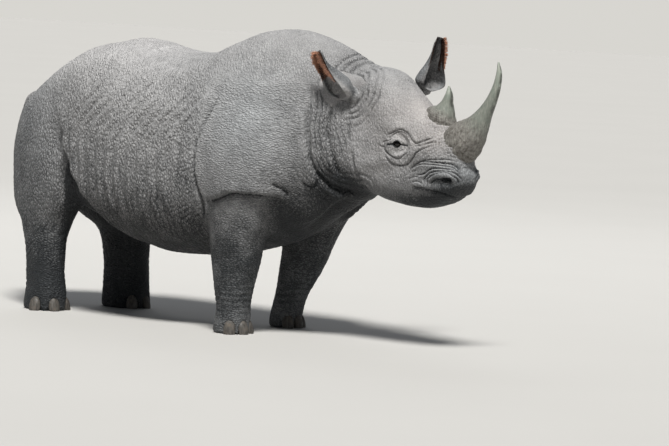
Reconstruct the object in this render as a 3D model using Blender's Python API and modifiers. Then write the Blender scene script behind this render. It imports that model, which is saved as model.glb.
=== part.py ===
"""Black rhinoceros, standing: a life-size model in named parts.

+X is the way the animal faces, +Y its left and +Z up, and it stands on z = 0. The flesh is lofted
through a few stations, fused into one body, and then parted by thin plane cuts. Horns, ears, tail,
eyes and toe nails are pieces of their own, seated with a small gap.
"""

import math

import bmesh
import bpy
import numpy as np
from mathutils import Matrix, Vector

# Driving dimensions, in metres.
HUMP_HEIGHT = 1.506
CROUP_HEIGHT = 1.414
SADDLE_HEIGHT = 1.353
BELLY_HEIGHT = 0.345
CHEST_HEIGHT = 0.43
BARREL_HALF_WIDTH = 0.455
HIP_HALF_WIDTH = 0.34
SHOULDER_HALF_WIDTH = 0.385
RUMP_X = -0.995
FORE_FOOT_X = 0.60
HIND_FOOT_X = -0.59
FOOT_SPREAD = 0.245
HIND_TOE_OUT = 20.0
FORE_TOE_OUT = 6.0

# The head has a frame of its own, at the nape: local X runs forward and local Y to its left.
NAPE_X = 1.25
HEAD_YAW = -4.0
EYE_RADIUS = 0.021
EYE_PLACE = (0.304, 0.130, 0.987)

# Where each ear's stem leaves the head, and where it ends in the cup.
EAR_STEMS = {
    "ear_right": ((0.050, -0.085, 1.170), (0.001, -0.181, 1.212)),
    "ear_left": ((0.070, 0.090, 1.190), (0.185, 0.192, 1.251)),
}
STEM_ROOT_RADIUS = 0.054
STEM_END_RADIUS = 0.042
STEM_ROUNDING = 50

TAIL_BARE_TO = 0.57

# Half of the gap between two pieces of the body, and the fineness of the forms.
CUT = 0.0004
FORM_VOXEL = 0.012
FORM_SMOOTHING = 8
BROAD_SMOOTHING = 60
FLESH_TRIANGLES = 2760
HEAD_FINENESS = 0.0001
RING_POINTS = 40
HORN_POINTS = 12
EAR_OUTER_POINTS = 9
EAR_INNER_POINTS = 4
STEM_POINTS = 8
TAIL_POINTS = 10
EYE_SEGMENTS = (12, 8)

HIDE = ((0.23, 0.235, 0.23, 1.0), 0.75)
EAR_HIDE = ((0.17, 0.17, 0.165, 1.0), 0.8)
HORN = ((0.27, 0.29, 0.25, 1.0), 0.5)
NAIL = ((0.10, 0.095, 0.085, 1.0), 0.55)
EYE = ((0.012, 0.009, 0.007, 1.0), 0.08)
BRISTLE = ((0.03, 0.027, 0.025, 1.0), 0.7)


def clear_scene():
    for obj in list(bpy.data.objects):
        bpy.data.objects.remove(obj, do_unlink=True)


def new_collection(name, helper=False):
    group = bpy.data.collections.new(name)
    bpy.context.scene.collection.children.link(group)
    group.hide_render = helper
    return group


def material(name, look):
    colour, roughness = look
    made = bpy.data.materials.new(name)
    made.use_nodes = True
    shader = made.node_tree.nodes["Principled BSDF"]
    shader.inputs["Base Color"].default_value = colour
    shader.inputs["Roughness"].default_value = roughness
    return made


def new_object(name, mesh, group, look=None):
    obj = bpy.data.objects.new(name, mesh)
    group.objects.link(obj)
    if look:
        mesh.materials.clear()
        mesh.materials.append(look)
    if group.hide_render:
        obj.hide_render = True
        obj.display_type = "WIRE"
    return obj


def evaluated_mesh(obj):
    """A mesh with the object's modifiers applied."""
    graph = bpy.context.evaluated_depsgraph_get()
    return bpy.data.meshes.new_from_object(obj.evaluated_get(graph))


def apply_modifiers(obj):
    mesh = evaluated_mesh(obj)
    obj.modifiers.clear()
    obj.data = mesh


# Sections and lofts


def smooth_rows(rows, steps):
    """Rows between the given ones, on a curve through all of them."""
    rows = np.array(rows, float)
    ends = np.vstack([2 * rows[0] - rows[1], rows, 2 * rows[-1] - rows[-2]])
    found = []
    for i in range(1, len(ends) - 2):
        a, b, c, d = ends[i - 1 : i + 3]
        for t in np.arange(steps) / steps:
            bend = (2 * a - 5 * b + 4 * c - d) * t * t + (3 * b - 3 * c + d - a) * t**3
            found.append(b + 0.5 * ((c - a) * t + bend))
    found.append(rows[-1])
    return found


def power(value, exponent):
    return math.copysign(abs(value) ** exponent, value)


def oval(top, bottom, side, half_width, fullness=0.5, boxiness=2.0, count=RING_POINTS):
    """A closed section through two opposite points, half_width to each side of them.

    fullness is the height of the widest level, from 0 at the bottom to 1 at the top, and boxiness
    is 2 for an ellipse and more for a squarer section.
    """
    top, bottom, side = Vector(top), Vector(bottom), Vector(side)
    middle = bottom.lerp(top, fullness)
    points = []
    for i in range(count):
        angle = 2 * math.pi * i / count
        up = power(math.cos(angle), 2 / boxiness)
        across = power(math.sin(angle), 2 / boxiness)
        reach = (top - middle) * up if up > 0 else (middle - bottom) * up
        points.append(middle + reach + side * half_width * across)
    return points


def loft(rings, form=None):
    """A closed skin over equal rings, added to form or to a new bmesh."""
    form = form or bmesh.new()
    levels = [[form.verts.new(point) for point in ring] for ring in rings]
    faces = [form.faces.new(levels[0]), form.faces.new(levels[-1][::-1])]
    count = len(levels[0])
    for low, high in zip(levels, levels[1:]):
        for i in range(count):
            j = (i + 1) % count
            faces.append(form.faces.new((low[j], low[i], high[i], high[j])))
    bmesh.ops.recalc_face_normals(form, faces=faces)
    return form


def mesh_of(form, name):
    mesh = bpy.data.meshes.new(name)
    bmesh.ops.triangulate(form, faces=form.faces[:])
    form.to_mesh(mesh)
    form.free()
    return mesh


def sagittal_rings(rows, steps, place=Matrix.Identity(4)):
    """Rings across a body plane. A row: top x, z, bottom x, z, half width, fullness, boxiness."""
    rings = []
    for tx, tz, bx, bz, width, fullness, boxiness in smooth_rows(rows, steps):
        ring = oval((tx, 0, tz), (bx, 0, bz), (0, 1, 0), width, fullness, boxiness)
        rings.append([place @ point for point in ring])
    return rings


def level_rings(rows, side, turn, steps=3):
    """Rings of a leg. A row: height, x, distance from the midline, half length, half width."""
    heading = Matrix.Rotation(math.radians(turn) * side, 3, "Z")
    forward, left = heading @ Vector((1, 0, 0)), heading @ Vector((0, 1, 0))
    rings = []
    for z, x, apart, length, width in smooth_rows(rows, steps):
        middle = Vector((x, apart * side, z))
        ring = oval(middle + forward * length, middle - forward * length, left, width, boxiness=2.3)
        rings.append(ring)
    return rings


def ball(form, place, radii, turn=(0, 0, 0), detail=3):
    """An ellipsoid, turned by degrees about X, Y and Z."""
    turns = [Matrix.Rotation(math.radians(angle), 4, axis) for angle, axis in zip(turn, "XYZ")]
    matrix = Matrix.Translation(place) @ turns[2] @ turns[1] @ turns[0]
    matrix = matrix @ Matrix.Diagonal((*radii, 1))
    bmesh.ops.create_icosphere(form, subdivisions=detail, radius=1, matrix=matrix)


# The forms of the flesh


def trunk_form(form):
    hip = HIP_HALF_WIDTH
    barrel = BARREL_HALF_WIDTH
    shoulder = SHOULDER_HALF_WIDTH
    rows = [
        (RUMP_X, 1.01, RUMP_X + 0.01, 0.84, 0.08, 0.5, 2.0),
        (RUMP_X + 0.05, 1.085, RUMP_X + 0.06, 0.74, 0.19, 0.5, 2.0),
        (-0.82, 1.175, -0.82, 0.66, hip - 0.05, 0.48, 2.05),
        (-0.64, 1.300, -0.64, 0.60, hip - 0.005, 0.50, 2.1),
        (-0.54, 1.350, -0.52, 0.56, hip + 0.01, 0.49, 2.2),
        (-0.45, 1.372, -0.43, 0.52, hip + 0.05, 0.49, 2.35),
        (-0.36, 1.386, -0.34, 0.475, barrel - 0.035, 0.47, 2.45),
        (-0.20, CROUP_HEIGHT, -0.20, 0.41, barrel - 0.01, 0.43, 2.5),
        (0.0, 1.374, 0.0, BELLY_HEIGHT + 0.01, barrel, 0.42, 2.45),
        (0.16, SADDLE_HEIGHT, 0.18, BELLY_HEIGHT, barrel, 0.42, 2.4),
        (0.33, 1.375, 0.36, BELLY_HEIGHT + 0.01, barrel - 0.025, 0.42, 2.3),
        (0.53, 1.465, 0.54, 0.385, shoulder, 0.42, 2.2),
        (0.714, HUMP_HEIGHT, 0.72, CHEST_HEIGHT, shoulder - 0.01, 0.42, 2.1),
        (0.90, 1.487, 0.90, 0.49, shoulder - 0.045, 0.40, 2.05),
        (1.05, 1.445, 1.06, 0.58, shoulder - 0.12, 0.38, 2.0),
        (1.18, 1.392, 1.22, 0.68, 0.212, 0.38, 2.0),
        (1.30, 1.345, 1.36, 0.745, 0.16, 0.45, 2.1),
    ]
    loft(sagittal_rings(rows, 3), form)
    for side in (-1, 1):
        ball(form, (-0.20, 0.255 * side, 0.755), (0.26, 0.185, 0.27), (0, 25, 0))


def head_place():
    return Matrix.Translation((NAPE_X, 0, 0)) @ Matrix.Rotation(math.radians(HEAD_YAW), 4, "Z")


def head_form(form):
    rows = [
        (0.02, 1.350, -0.06, 0.79, 0.16, 0.45, 2.4),
        (0.11, 1.348, 0.03, 0.765, 0.165, 0.42, 2.7),
        (0.18, 1.320, 0.12, 0.724, 0.166, 0.42, 2.9),
        (0.27, 1.240, 0.21, 0.701, 0.160, 0.44, 2.9),
        (0.37, 1.160, 0.30, 0.689, 0.150, 0.47, 2.7),
        (0.46, 1.105, 0.38, 0.684, 0.134, 0.50, 2.4),
        (0.525, 1.06, 0.445, 0.692, 0.122, 0.52, 2.4),
        (0.585, 0.99, 0.515, 0.708, 0.112, 0.52, 2.35),
        (0.632, 0.925, 0.58, 0.736, 0.098, 0.50, 2.3),
        (0.657, 0.880, 0.625, 0.778, 0.070, 0.50, 2.2),
        (0.666, 0.850, 0.656, 0.815, 0.028, 0.50, 2.0),
    ]
    place = head_place()
    loft(sagittal_rings(rows, 3, place), form)
    for side in (-1, 1):
        ball(form, place @ Vector((0.335, 0.112 * side, 0.985)), (0.075, 0.045, 0.062), (0, 25, 0))
        ball(form, place @ Vector((0.12, 0.10 * side, 0.90)), (0.13, 0.082, 0.15), (0, 15, 0))
        ball(form, place @ Vector((0.545, 0.068 * side, 0.815)), (0.07, 0.048, 0.055), (0, 10, 0))
        ball(form, place @ Vector((0.065, 0.10 * side, 1.235)), (0.085, 0.062, 0.085))
    ball(form, place @ Vector((0.575, 0, 0.985)), (0.075, 0.088, 0.085), (0, 35, 0))
    ball(form, place @ Vector((0.455, 0, 1.08)), (0.08, 0.068, 0.045), (0, 20, 0))


def hind_leg_form(form, side, foot_x):
    """The thigh fills the rump, and the hock stands out behind above a straight shank."""
    step = foot_x - HIND_FOOT_X
    rows = [
        (1.18, -0.60, 0.12, 0.20, 0.12),
        (1.03, -0.645, 0.16, 0.290, 0.160),
        (0.85, -0.670, 0.176, 0.318, 0.172),
        (0.70, -0.660 + 0.3 * step, 0.190, 0.302, 0.160),
        (0.57, -0.650 + 0.6 * step, 0.206, 0.262, 0.144),
        (0.48, -0.637 + 0.8 * step, 0.22, 0.202, 0.122),
        (0.42, -0.605 + step, 0.235, 0.152, 0.105),
        (0.34, -0.60 + step, FOOT_SPREAD, 0.132, 0.092),
        (0.22, -0.595 + step, FOOT_SPREAD, 0.122, 0.086),
        (0.11, -0.59 + step, FOOT_SPREAD, 0.126, 0.090),
        (0.045, -0.588 + step, FOOT_SPREAD, 0.128, 0.102),
        (-0.03, -0.586 + step, FOOT_SPREAD, 0.129, 0.104),
    ]
    loft(level_rings(rows, side, HIND_TOE_OUT), form)


def fore_leg_form(form, side, shoulder_x, foot_x, girth):
    """shoulder_x is the place of the elbow, and the leg slants from it down to foot_x."""
    rows = []
    for z, along, apart, length, width in (
        (1.30, 0.8, 0.14, 0.13, 0.09),
        (1.20, 0.9, 0.18, 0.20, 0.13),
        (1.05, 1.0, 0.215, 0.265, 0.165),
        (0.90, 1.05, 0.24, 0.285, 0.180),
        (0.79, 1.05, 0.252, 0.275, 0.176),
        (0.71, 1.0, 0.26, 0.235, 0.160),
        (0.655, 0.92, 0.264, 0.20, 0.134),
        (0.56, 0.75, 0.27, 0.176, 0.122),
        (0.46, 0.52, 0.27, 0.152, 0.114),
        (0.37, 0.38, 0.268, 0.130, 0.104),
        (0.28, 0.27, 0.262, 0.114, 0.097),
        (0.19, 0.14, 0.255, 0.094, 0.086),
        (0.11, 0.05, FOOT_SPREAD, 0.084, 0.082),
        (0.05, 0.0, FOOT_SPREAD, 0.088, 0.090),
        (-0.03, 0.0, FOOT_SPREAD, 0.092, 0.096),
    ):
        x = foot_x + (shoulder_x - foot_x) * along
        slim = girth if z < 0.6 else 1.0
        rows.append((z, x, apart, length * slim, width * slim))
    loft(level_rings(rows, side, FORE_TOE_OUT), form)


def flesh(helpers):
    """All the flesh but ears and tail, as one closed faceted mesh with flat soles."""
    form = bmesh.new()
    trunk_form(form)
    head_form(form)
    hind_leg_form(form, -1, HIND_FOOT_X - 0.055)
    hind_leg_form(form, 1, HIND_FOOT_X + 0.055)
    fore_leg_form(form, -1, 0.69, FORE_FOOT_X + 0.03, 1.0)
    fore_leg_form(form, 1, 0.79, FORE_FOOT_X - 0.035, 0.93)
    obj = new_object("flesh_form", mesh_of(form, "flesh_form"), helpers)
    fuse = obj.modifiers.new("Fuse", "REMESH")
    fuse.mode = "VOXEL"
    fuse.voxel_size = FORM_VOXEL
    apply_modifiers(obj)
    fine = obj.vertex_groups.new(name="fine")
    broad = obj.vertex_groups.new(name="broad")
    for vertex in obj.data.vertices:
        x, y, z = vertex.co
        headwards = min(1.0, max(0.0, (x - NAPE_X) / 0.3))
        upwards = min(1.0, max(0.0, (z - 0.45) / 0.3))
        fine.add([vertex.index], 0.9 * headwards, "REPLACE")
        broad.add([vertex.index], (1 - headwards) * upwards, "REPLACE")
    for group, passes in (("", FORM_SMOOTHING), (broad.name, BROAD_SMOOTHING)):
        soften = obj.modifiers.new("Soften", "SMOOTH")
        soften.factor = 0.5
        soften.iterations = passes
        soften.vertex_group = group
    thin = obj.modifiers.new("Thin", "DECIMATE")
    thin.vertex_group = fine.name
    thin.invert_vertex_group = True
    thin.vertex_group_factor = HEAD_FINENESS
    thin.use_collapse_triangulate = True
    thin.ratio = FLESH_TRIANGLES / (2 * len(obj.data.polygons))
    apply_modifiers(obj)
    return obj


# Horns, ears, tail, eyes and nails


def horn_mesh(name, spine, seat):
    """A horn round a curved spine: (x, z, half length fore and aft) in the head's frame.

    seat is how much wider than long the base is, and it fades to a round tip.
    """
    rows = smooth_rows(spine, 2)
    place = head_place()
    rings = []
    for i, (x, z, half) in enumerate(rows):
        before, after = rows[max(i - 1, 0)], rows[min(i + 1, len(rows) - 1)]
        along = Vector((after[0] - before[0], 0, after[1] - before[1])).normalized()
        front = Vector((along.z, 0, -along.x)) * half
        centre = Vector((x, 0, z))
        width = half * (1 + (seat - 1) * (1 - i / len(rows)) ** 2)
        ring = oval(centre + front, centre - front, (0, 1, 0), width, count=HORN_POINTS)
        rings.append([place @ point for point in ring])
    return mesh_of(loft(rings), name)


def horn_front():
    spine = [
        (0.545, 0.965, 0.098),
        (0.606, 1.020, 0.100),
        (0.652, 1.062, 0.080),
        (0.692, 1.108, 0.057),
        (0.728, 1.160, 0.038),
        (0.766, 1.222, 0.027),
        (0.793, 1.287, 0.020),
        (0.804, 1.349, 0.014),
        (0.797, 1.404, 0.004),
    ]
    return horn_mesh("horn_front", spine, 0.84)


def horn_rear():
    spine = [
        (0.448, 1.075, 0.076),
        (0.463, 1.125, 0.074),
        (0.478, 1.160, 0.050),
        (0.490, 1.200, 0.029),
        (0.497, 1.235, 0.019),
        (0.494, 1.276, 0.004),
    ]
    return horn_mesh("horn_rear", spine, 0.80)


def ear_mesh(name, base, tip, opening, bow, breadth=1.0):
    """A cupped ear: a stalk that opens into a leaf-shaped shell, rolled round its own length.

    base and tip are places in the head's frame, opening is the way the cup faces, bow is how far
    the middle of the ear hangs off the straight line between them, and breadth widens the leaf.
    """
    base, tip, bow = Vector(base), Vector(tip), Vector(bow)
    along = (tip - base).normalized()
    face = (Vector(opening) - along * Vector(opening).dot(along)).normalized()
    across = along.cross(face)
    # Share of the length, half width, depth of the cup, wall, half opening in degrees, hollow.
    rows = smooth_rows(
        [
            (0.00, 0.041, 0.038, 0.012, 38, 0.0),
            (0.10, 0.050, 0.041, 0.012, 42, 0.1),
            (0.20, 0.066, 0.048, 0.011, 52, 0.75),
            (0.32, 0.075, 0.064, 0.009, 63, 1.0),
            (0.48, 0.064, 0.062, 0.008, 70, 1.0),
            (0.64, 0.047, 0.043, 0.008, 74, 1.0),
            (0.80, 0.035, 0.022, 0.007, 76, 1.0),
            (0.92, 0.028, 0.017, 0.006, 76, 1.0),
            (1.00, 0.014, 0.009, 0.005, 74, 1.0),
        ],
        1,
    )
    place = head_place()
    rings = []
    for share, width, depth, wall, half_open, hollow in rows:
        width *= 1 + (breadth - 1) * hollow
        centre = base.lerp(tip, share) + bow * math.sin(math.pi * share) ** 0.8
        ring = []
        wrap = 360 - 2 * half_open
        for i in range(EAR_OUTER_POINTS):
            angle = math.radians(half_open + wrap * i / (EAR_OUTER_POINTS - 1))
            ring.append(centre + face * depth * math.cos(angle) + across * width * math.sin(angle))
        for i in range(1, EAR_INNER_POINTS + 1):
            turn = 1 - i / (EAR_INNER_POINTS + 1)
            back = math.radians(half_open + wrap * turn)
            inner = centre + face * (depth - wall) * math.cos(back)
            inner += across * (width - wall) * math.sin(back)
            front = math.radians(half_open * (2 * turn - 1))
            outer = centre + face * depth * math.cos(front) + across * width * math.sin(-front)
            ring.append(outer.lerp(inner, hollow))
        rings.append([place @ point for point in ring])
    return mesh_of(loft(rings), name)


def ear_right():
    """Turned out to the side, so that its cup faces away from the head."""
    base, tip = (0.030, -0.160, 1.193), (-0.081, -0.302, 1.411)
    return ear_mesh("ear_right", base, tip, (-0.21, -0.93, -0.31), (-0.030, -0.003, -0.026))


def ear_left():
    """Pricked, with its cup facing forward."""
    base, tip = (0.173, 0.188, 1.240), (0.228, 0.218, 1.499)
    return ear_mesh("ear_left", base, tip, (1.0, 0.02, -0.01), (0.009, -0.001, -0.050), 1.17)


def ear_stem(root, end):
    """The stem that carries the cup: a tapered bar with rounded ends, in the head's frame."""
    root, end = Vector(root), Vector(end)
    along = (end - root).normalized()
    across = along.orthogonal().normalized()
    other = along.cross(across)
    place = head_place()
    rings = []
    levels = (
        (root, STEM_ROOT_RADIUS, (-STEM_ROUNDING, 0)),
        (end, STEM_END_RADIUS, (0, STEM_ROUNDING)),
    )
    for centre, radius, tilts in levels:
        for tilt in tilts:
            middle = centre + along * radius * math.sin(math.radians(tilt))
            reach = radius * math.cos(math.radians(tilt))
            ring = []
            for i in range(STEM_POINTS):
                angle = 2 * math.pi * i / STEM_POINTS
                ring.append(place @ (middle + (across * math.cos(angle) + other * math.sin(angle)) * reach))
            rings.append(ring)
    return mesh_of(loft(rings), "stem")


def tail_mesh():
    """Hangs close behind the rump, and flattens into the bristles at its end."""
    # Height, x, half length, half width.
    rows = [
        (1.090, -0.945, 0.050, 0.055),
        (1.045, -1.005, 0.046, 0.050),
        (0.960, -1.055, 0.034, 0.040),
        (0.850, -1.070, 0.027, 0.033),
        (0.740, -1.060, 0.023, 0.028),
        (0.640, -1.042, 0.020, 0.024),
        (TAIL_BARE_TO, -1.032, 0.018, 0.024),
        (0.500, -1.026, 0.018, 0.040),
        (0.430, -1.022, 0.015, 0.040),
        (0.380, -1.020, 0.008, 0.015),
    ]
    rings = []
    for z, x, length, width in smooth_rows(rows, 1):
        slope = 0.6 if z > 0.9 else 0.0
        rise = length * slope
        rear, front = (x - length, 0, z + rise), (x + length, 0, z - rise)
        rings.append(oval(front, rear, (0, 1, 0), width, count=TAIL_POINTS))
    return mesh_of(loft(rings), "tail")


def add_eyeball(form, centre, radius):
    around, down = EYE_SEGMENTS
    matrix = Matrix.Translation(centre)
    bmesh.ops.create_uvsphere(form, u_segments=around, v_segments=down, radius=radius, matrix=matrix)


def eye_mesh(side):
    form = bmesh.new()
    x, y, z = EYE_PLACE
    centre = head_place() @ Vector((x, y * side, z))
    add_eyeball(form, centre, EYE_RADIUS)
    return mesh_of(form, "eye")


def eye_opening(side):
    """The slot between the lids, and behind it the socket, a hair wider than the eye."""
    x, y, z = EYE_PLACE
    place = head_place()
    socket = bmesh.new()
    centre = place @ Vector((x, y * side, z))
    add_eyeball(socket, centre, EYE_RADIUS + 2 * CUT)
    slot = bmesh.new()
    ball(slot, place @ Vector((x, (y + 0.028) * side, z)), (0.026, 0.034, 0.014), (0, 8, HEAD_YAW), 2)
    return mesh_of(slot, "slot"), mesh_of(socket, "socket")


def nail_mesh(centre, heading, reach, grow=0.0):
    """A toe nail: a rounded plate that leans back against the foot."""
    form = bmesh.new()
    out = Vector((math.cos(heading), math.sin(heading), 0))
    place = Vector(centre) + out * reach + Vector((0, 0, 0.022))
    radii = (0.020 + grow, 0.030 + grow, 0.050 + grow)
    turns = Matrix.Rotation(heading, 4, "Z") @ Matrix.Rotation(math.radians(-14), 4, "Y")
    matrix = Matrix.Translation(place) @ turns @ Matrix.Diagonal((*radii, 1))
    bmesh.ops.create_icosphere(form, subdivisions=2, radius=1, matrix=matrix)
    return mesh_of(form, "nail")


# Cutting


def prism(name, outline, axis, low, high, helpers, place=Matrix.Identity(4), grow=0.0):
    """A convex outline carried along an axis, as a cutter. axis X takes (y, z), Y takes (x, z)."""
    form = bmesh.new()
    middle = [sum(point[i] for point in outline) / len(outline) for i in (0, 1)]
    for a, b in outline:
        a += math.copysign(grow, a - middle[0])
        b += math.copysign(grow, b - middle[1])
        for c in (min(low, high) - grow, max(low, high) + grow):
            form.verts.new(place @ Vector((c, a, b) if axis == "X" else (a, c, b)))
    hull = bmesh.ops.convex_hull(form, input=form.verts[:])
    bmesh.ops.delete(form, geom=hull["geom_interior"], context="VERTS")
    bmesh.ops.recalc_face_normals(form, faces=form.faces[:])
    return new_object(name, mesh_of(form, name), helpers)


def boolean(obj, other, operation):
    cut = obj.modifiers.new(other.name, "BOOLEAN")
    cut.operation = operation
    cut.solver = "EXACT"
    cut.object = other
    apply_modifiers(obj)
    drop_crumbs(obj)


def drop_crumbs(obj):
    """Keeps the body with the most vertices, where a cut has also freed a crumb."""
    form = bmesh.new()
    form.from_mesh(obj.data)
    bodies = []
    unseen = set(form.verts)
    while unseen:
        found = [unseen.pop()]
        for vertex in found:
            for edge in vertex.link_edges:
                other = edge.other_vert(vertex)
                if other in unseen:
                    unseen.remove(other)
                    found.append(other)
        bodies.append(found)
    bodies.sort(key=len)
    for crumb in bodies[:-1]:
        bmesh.ops.delete(form, geom=crumb, context="VERTS")
    form.to_mesh(obj.data)
    form.free()


def cut_out(rest, name, look, parts, helpers, *region):
    """Moves what lies in the prism from rest to an object of its own, across a thin gap."""
    piece = new_object(name, rest.data.copy(), parts, look)
    boolean(piece, prism(name + "_region", *region[:4], helpers, *region[4:]), "INTERSECT")
    grown = prism(name + "_gap", *region[:4], helpers, *region[4:], grow=CUT)
    boolean(rest, grown, "DIFFERENCE")
    return piece


def grown_copy(obj, name, helpers, distance):
    """A helper with the object's surface moved out by distance."""
    mesh = obj.data.copy()
    copy = new_object(name, mesh, helpers)
    swell = copy.modifiers.new("Swell", "DISPLACE")
    swell.mid_level = 0
    swell.strength = distance
    apply_modifiers(copy)
    return copy


def divide_flesh(body, looks, parts, helpers):
    """Parts the body into head, neck, legs and feet, and leaves the trunk."""
    place = head_place()
    hide = looks["hide"]
    wide = 0.4
    head = cut_out(
        body, "head", hide, parts, helpers,
        [(-0.015, 0.5), (0.06, 1.6), (1.0, 1.6), (1.0, 0.5)], "Y", -wide, wide, place,
    )
    jaw = [(0.09, 0.5), (0.09, 0.842), (0.40, 0.786), (0.75, 0.716), (0.75, 0.5)]
    cut_out(head, "lower_jaw", hide, parts, helpers, jaw, "Y", -wide, wide, place)
    neck = [(1.10, 0.3), (1.045, 1.6), (1.6, 1.6), (1.6, 0.3)]
    cut_out(body, "neck", hide, parts, helpers, neck, "Y", -wide, wide)
    for side, name in ((-1, "right"), (1, "left")):
        outline = [(0.40, -0.1), (0.42, 0.37), (0.50, 0.54), (0.60, 0.625), (1.1, 0.70), (1.1, -0.1)]
        leg = cut_out(
            body, "foreleg_" + name, hide, parts, helpers, outline, "Y", 0.09 * side, 0.6 * side
        )
        foot = [(0.35, -0.1), (0.35, 0.15), (0.85, 0.15), (0.85, -0.1)]
        cut_out(leg, "forefoot_" + name, hide, parts, helpers, foot, "Y", 0.05 * side, 0.6 * side)
        outline = [(-1.3, -0.1), (-0.27, -0.1), (-0.27, 0.44), (-0.40, 0.70), (-0.58, 0.88), (-1.3, 0.84)]
        leg = cut_out(body, "hindleg_" + name, hide, parts, helpers, outline, "Y", 0.0, 0.6 * side)
        foot = [(-0.95, -0.1), (-0.95, 0.15), (-0.2, 0.15), (-0.2, -0.1)]
        cut_out(leg, "hindfoot_" + name, hide, parts, helpers, foot, "Y", 0.05 * side, 0.6 * side)
    body.name = "trunk"
    return head


def main():
    clear_scene()
    parts = new_collection("black_rhinoceros")
    helpers = new_collection("cutters", helper=True)
    looks = {
        "hide": material("rhino_hide", HIDE),
        "ear": material("ear_hide", EAR_HIDE),
        "horn": material("horn", HORN),
        "nail": material("toe_nail", NAIL),
        "eye": material("eye", EYE),
        "bristle": material("tail_bristle", BRISTLE),
    }
    form = flesh(helpers)
    floor = prism("floor", [(-2, -0.5), (-2, 0), (3, 0), (3, -0.5)], "Y", -1, 1, helpers)
    boolean(form, floor, "DIFFERENCE")
    swollen = grown_copy(form, "seat", helpers, CUT)
    body = new_object("body", form.data.copy(), parts, looks["hide"])
    head = divide_flesh(body, looks, parts, helpers)

    for name, make, look in (
        ("horn_front", horn_front, "horn"),
        ("horn_rear", horn_rear, "horn"),
        ("ear_right", ear_right, "ear"),
        ("ear_left", ear_left, "ear"),
        ("tail", tail_mesh, "hide"),
    ):
        piece = new_object(name, make(), parts, looks[look])
        if name in EAR_STEMS:
            boolean(piece, new_object(name + "_stem", ear_stem(*EAR_STEMS[name]), helpers), "UNION")
        boolean(piece, swollen, "DIFFERENCE")
    front_horn_room = grown_copy(bpy.data.objects["horn_front"], "horn_room", helpers, CUT)
    boolean(bpy.data.objects["horn_rear"], front_horn_room, "DIFFERENCE")
    tuft = [(-1.2, 0.2), (-1.2, TAIL_BARE_TO), (-0.9, TAIL_BARE_TO), (-0.9, 0.2)]
    tail = bpy.data.objects["tail"]
    cut_out(tail, "tail_tuft", looks["bristle"], parts, helpers, tuft, "Y", -0.2, 0.2)

    for side, name in ((-1, "right"), (1, "left")):
        new_object("eye_" + name, eye_mesh(side), parts, looks["eye"])
        for i, mesh in enumerate(eye_opening(side)):
            boolean(head, new_object(f"eye_cut_{name}_{i}", mesh, helpers), "DIFFERENCE")

    for foot in ("forefoot_right", "forefoot_left", "hindfoot_right", "hindfoot_left"):
        add_nails(bpy.data.objects[foot], looks["nail"], floor, parts, helpers)
    stand_at_origin(parts)


def add_nails(foot, look, floor, parts, helpers):
    """Three nails round the front of a foot, each seated in a pocket of its own."""
    side = -1 if foot.name.endswith("right") else 1
    fore = foot.name.startswith("fore")
    points = [vertex.co for vertex in foot.data.vertices if vertex.co.z < 0.002]
    centre = sum(points, Vector()) / len(points)
    toe_out = math.radians(FORE_TOE_OUT if fore else HIND_TOE_OUT) * side
    for number, spread in enumerate((-50, 0, 50), start=1):
        heading = toe_out + math.radians(spread)
        out = Vector((math.cos(heading), math.sin(heading), 0))
        reach = max((point - centre).dot(out) for point in points) - 0.010
        flat_centre = (centre.x, centre.y, 0)
        name = f"nail_{foot.name}_{number}"
        pocket = new_object(name + "_pocket", nail_mesh(flat_centre, heading, reach, 2 * CUT), helpers)
        boolean(foot, pocket, "DIFFERENCE")
        nail = new_object(name, nail_mesh(flat_centre, heading, reach), parts, look)
        boolean(nail, floor, "DIFFERENCE")


def stand_at_origin(parts):
    """Moves the model so that its box is centred on the origin and stands on z = 0."""
    corners = np.array([vertex.co for obj in parts.objects for vertex in obj.data.vertices])
    low, high = corners.min(axis=0), corners.max(axis=0)
    middle = (low + high) / 2
    shift = Matrix.Translation((-middle[0], -middle[1], -low[2]))
    for obj in parts.objects:
        obj.data.transform(shift)


if __name__ == "__main__":
    main()
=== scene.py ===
"""The looks of the standing black rhinoceros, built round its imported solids.

One skin is grown from the flesh nodes, smoothed, made finer on the head and sculpted: folds, lids,
nostrils, mouth and wrinkles are moves of its vertices. Horns, eyes and nails are finer pieces in the
place of their nodes. Ear fringes, lashes and tail bristles are tufts of solid mesh.

Places are given in metres in two frames. The body's has X forward, Y left and Z up from the floor.
The head's is the same, turned about the nape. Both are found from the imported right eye. Only the
tables of lines on the skin are in millimetres, as they say.
In formulas x, y and z are places in the body's frame, and s, t and h are the same in the head's.
"""

import math

import bmesh
import bpy
import numpy as np
from mathutils import Matrix, Vector, noise


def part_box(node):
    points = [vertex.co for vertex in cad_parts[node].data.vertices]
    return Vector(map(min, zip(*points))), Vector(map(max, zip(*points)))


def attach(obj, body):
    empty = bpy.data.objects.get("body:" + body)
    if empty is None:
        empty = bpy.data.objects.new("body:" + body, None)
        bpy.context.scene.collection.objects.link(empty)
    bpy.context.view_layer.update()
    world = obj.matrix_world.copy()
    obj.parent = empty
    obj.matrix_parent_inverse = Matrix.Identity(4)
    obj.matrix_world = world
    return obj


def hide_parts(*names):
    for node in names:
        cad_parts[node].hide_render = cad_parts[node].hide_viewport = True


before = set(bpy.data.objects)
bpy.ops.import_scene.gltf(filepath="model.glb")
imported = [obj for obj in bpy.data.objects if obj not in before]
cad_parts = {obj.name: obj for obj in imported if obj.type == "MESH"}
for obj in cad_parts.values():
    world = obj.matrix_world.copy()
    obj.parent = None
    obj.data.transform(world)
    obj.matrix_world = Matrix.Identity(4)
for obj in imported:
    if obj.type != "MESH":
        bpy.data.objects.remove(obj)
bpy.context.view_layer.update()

# Frames

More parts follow.
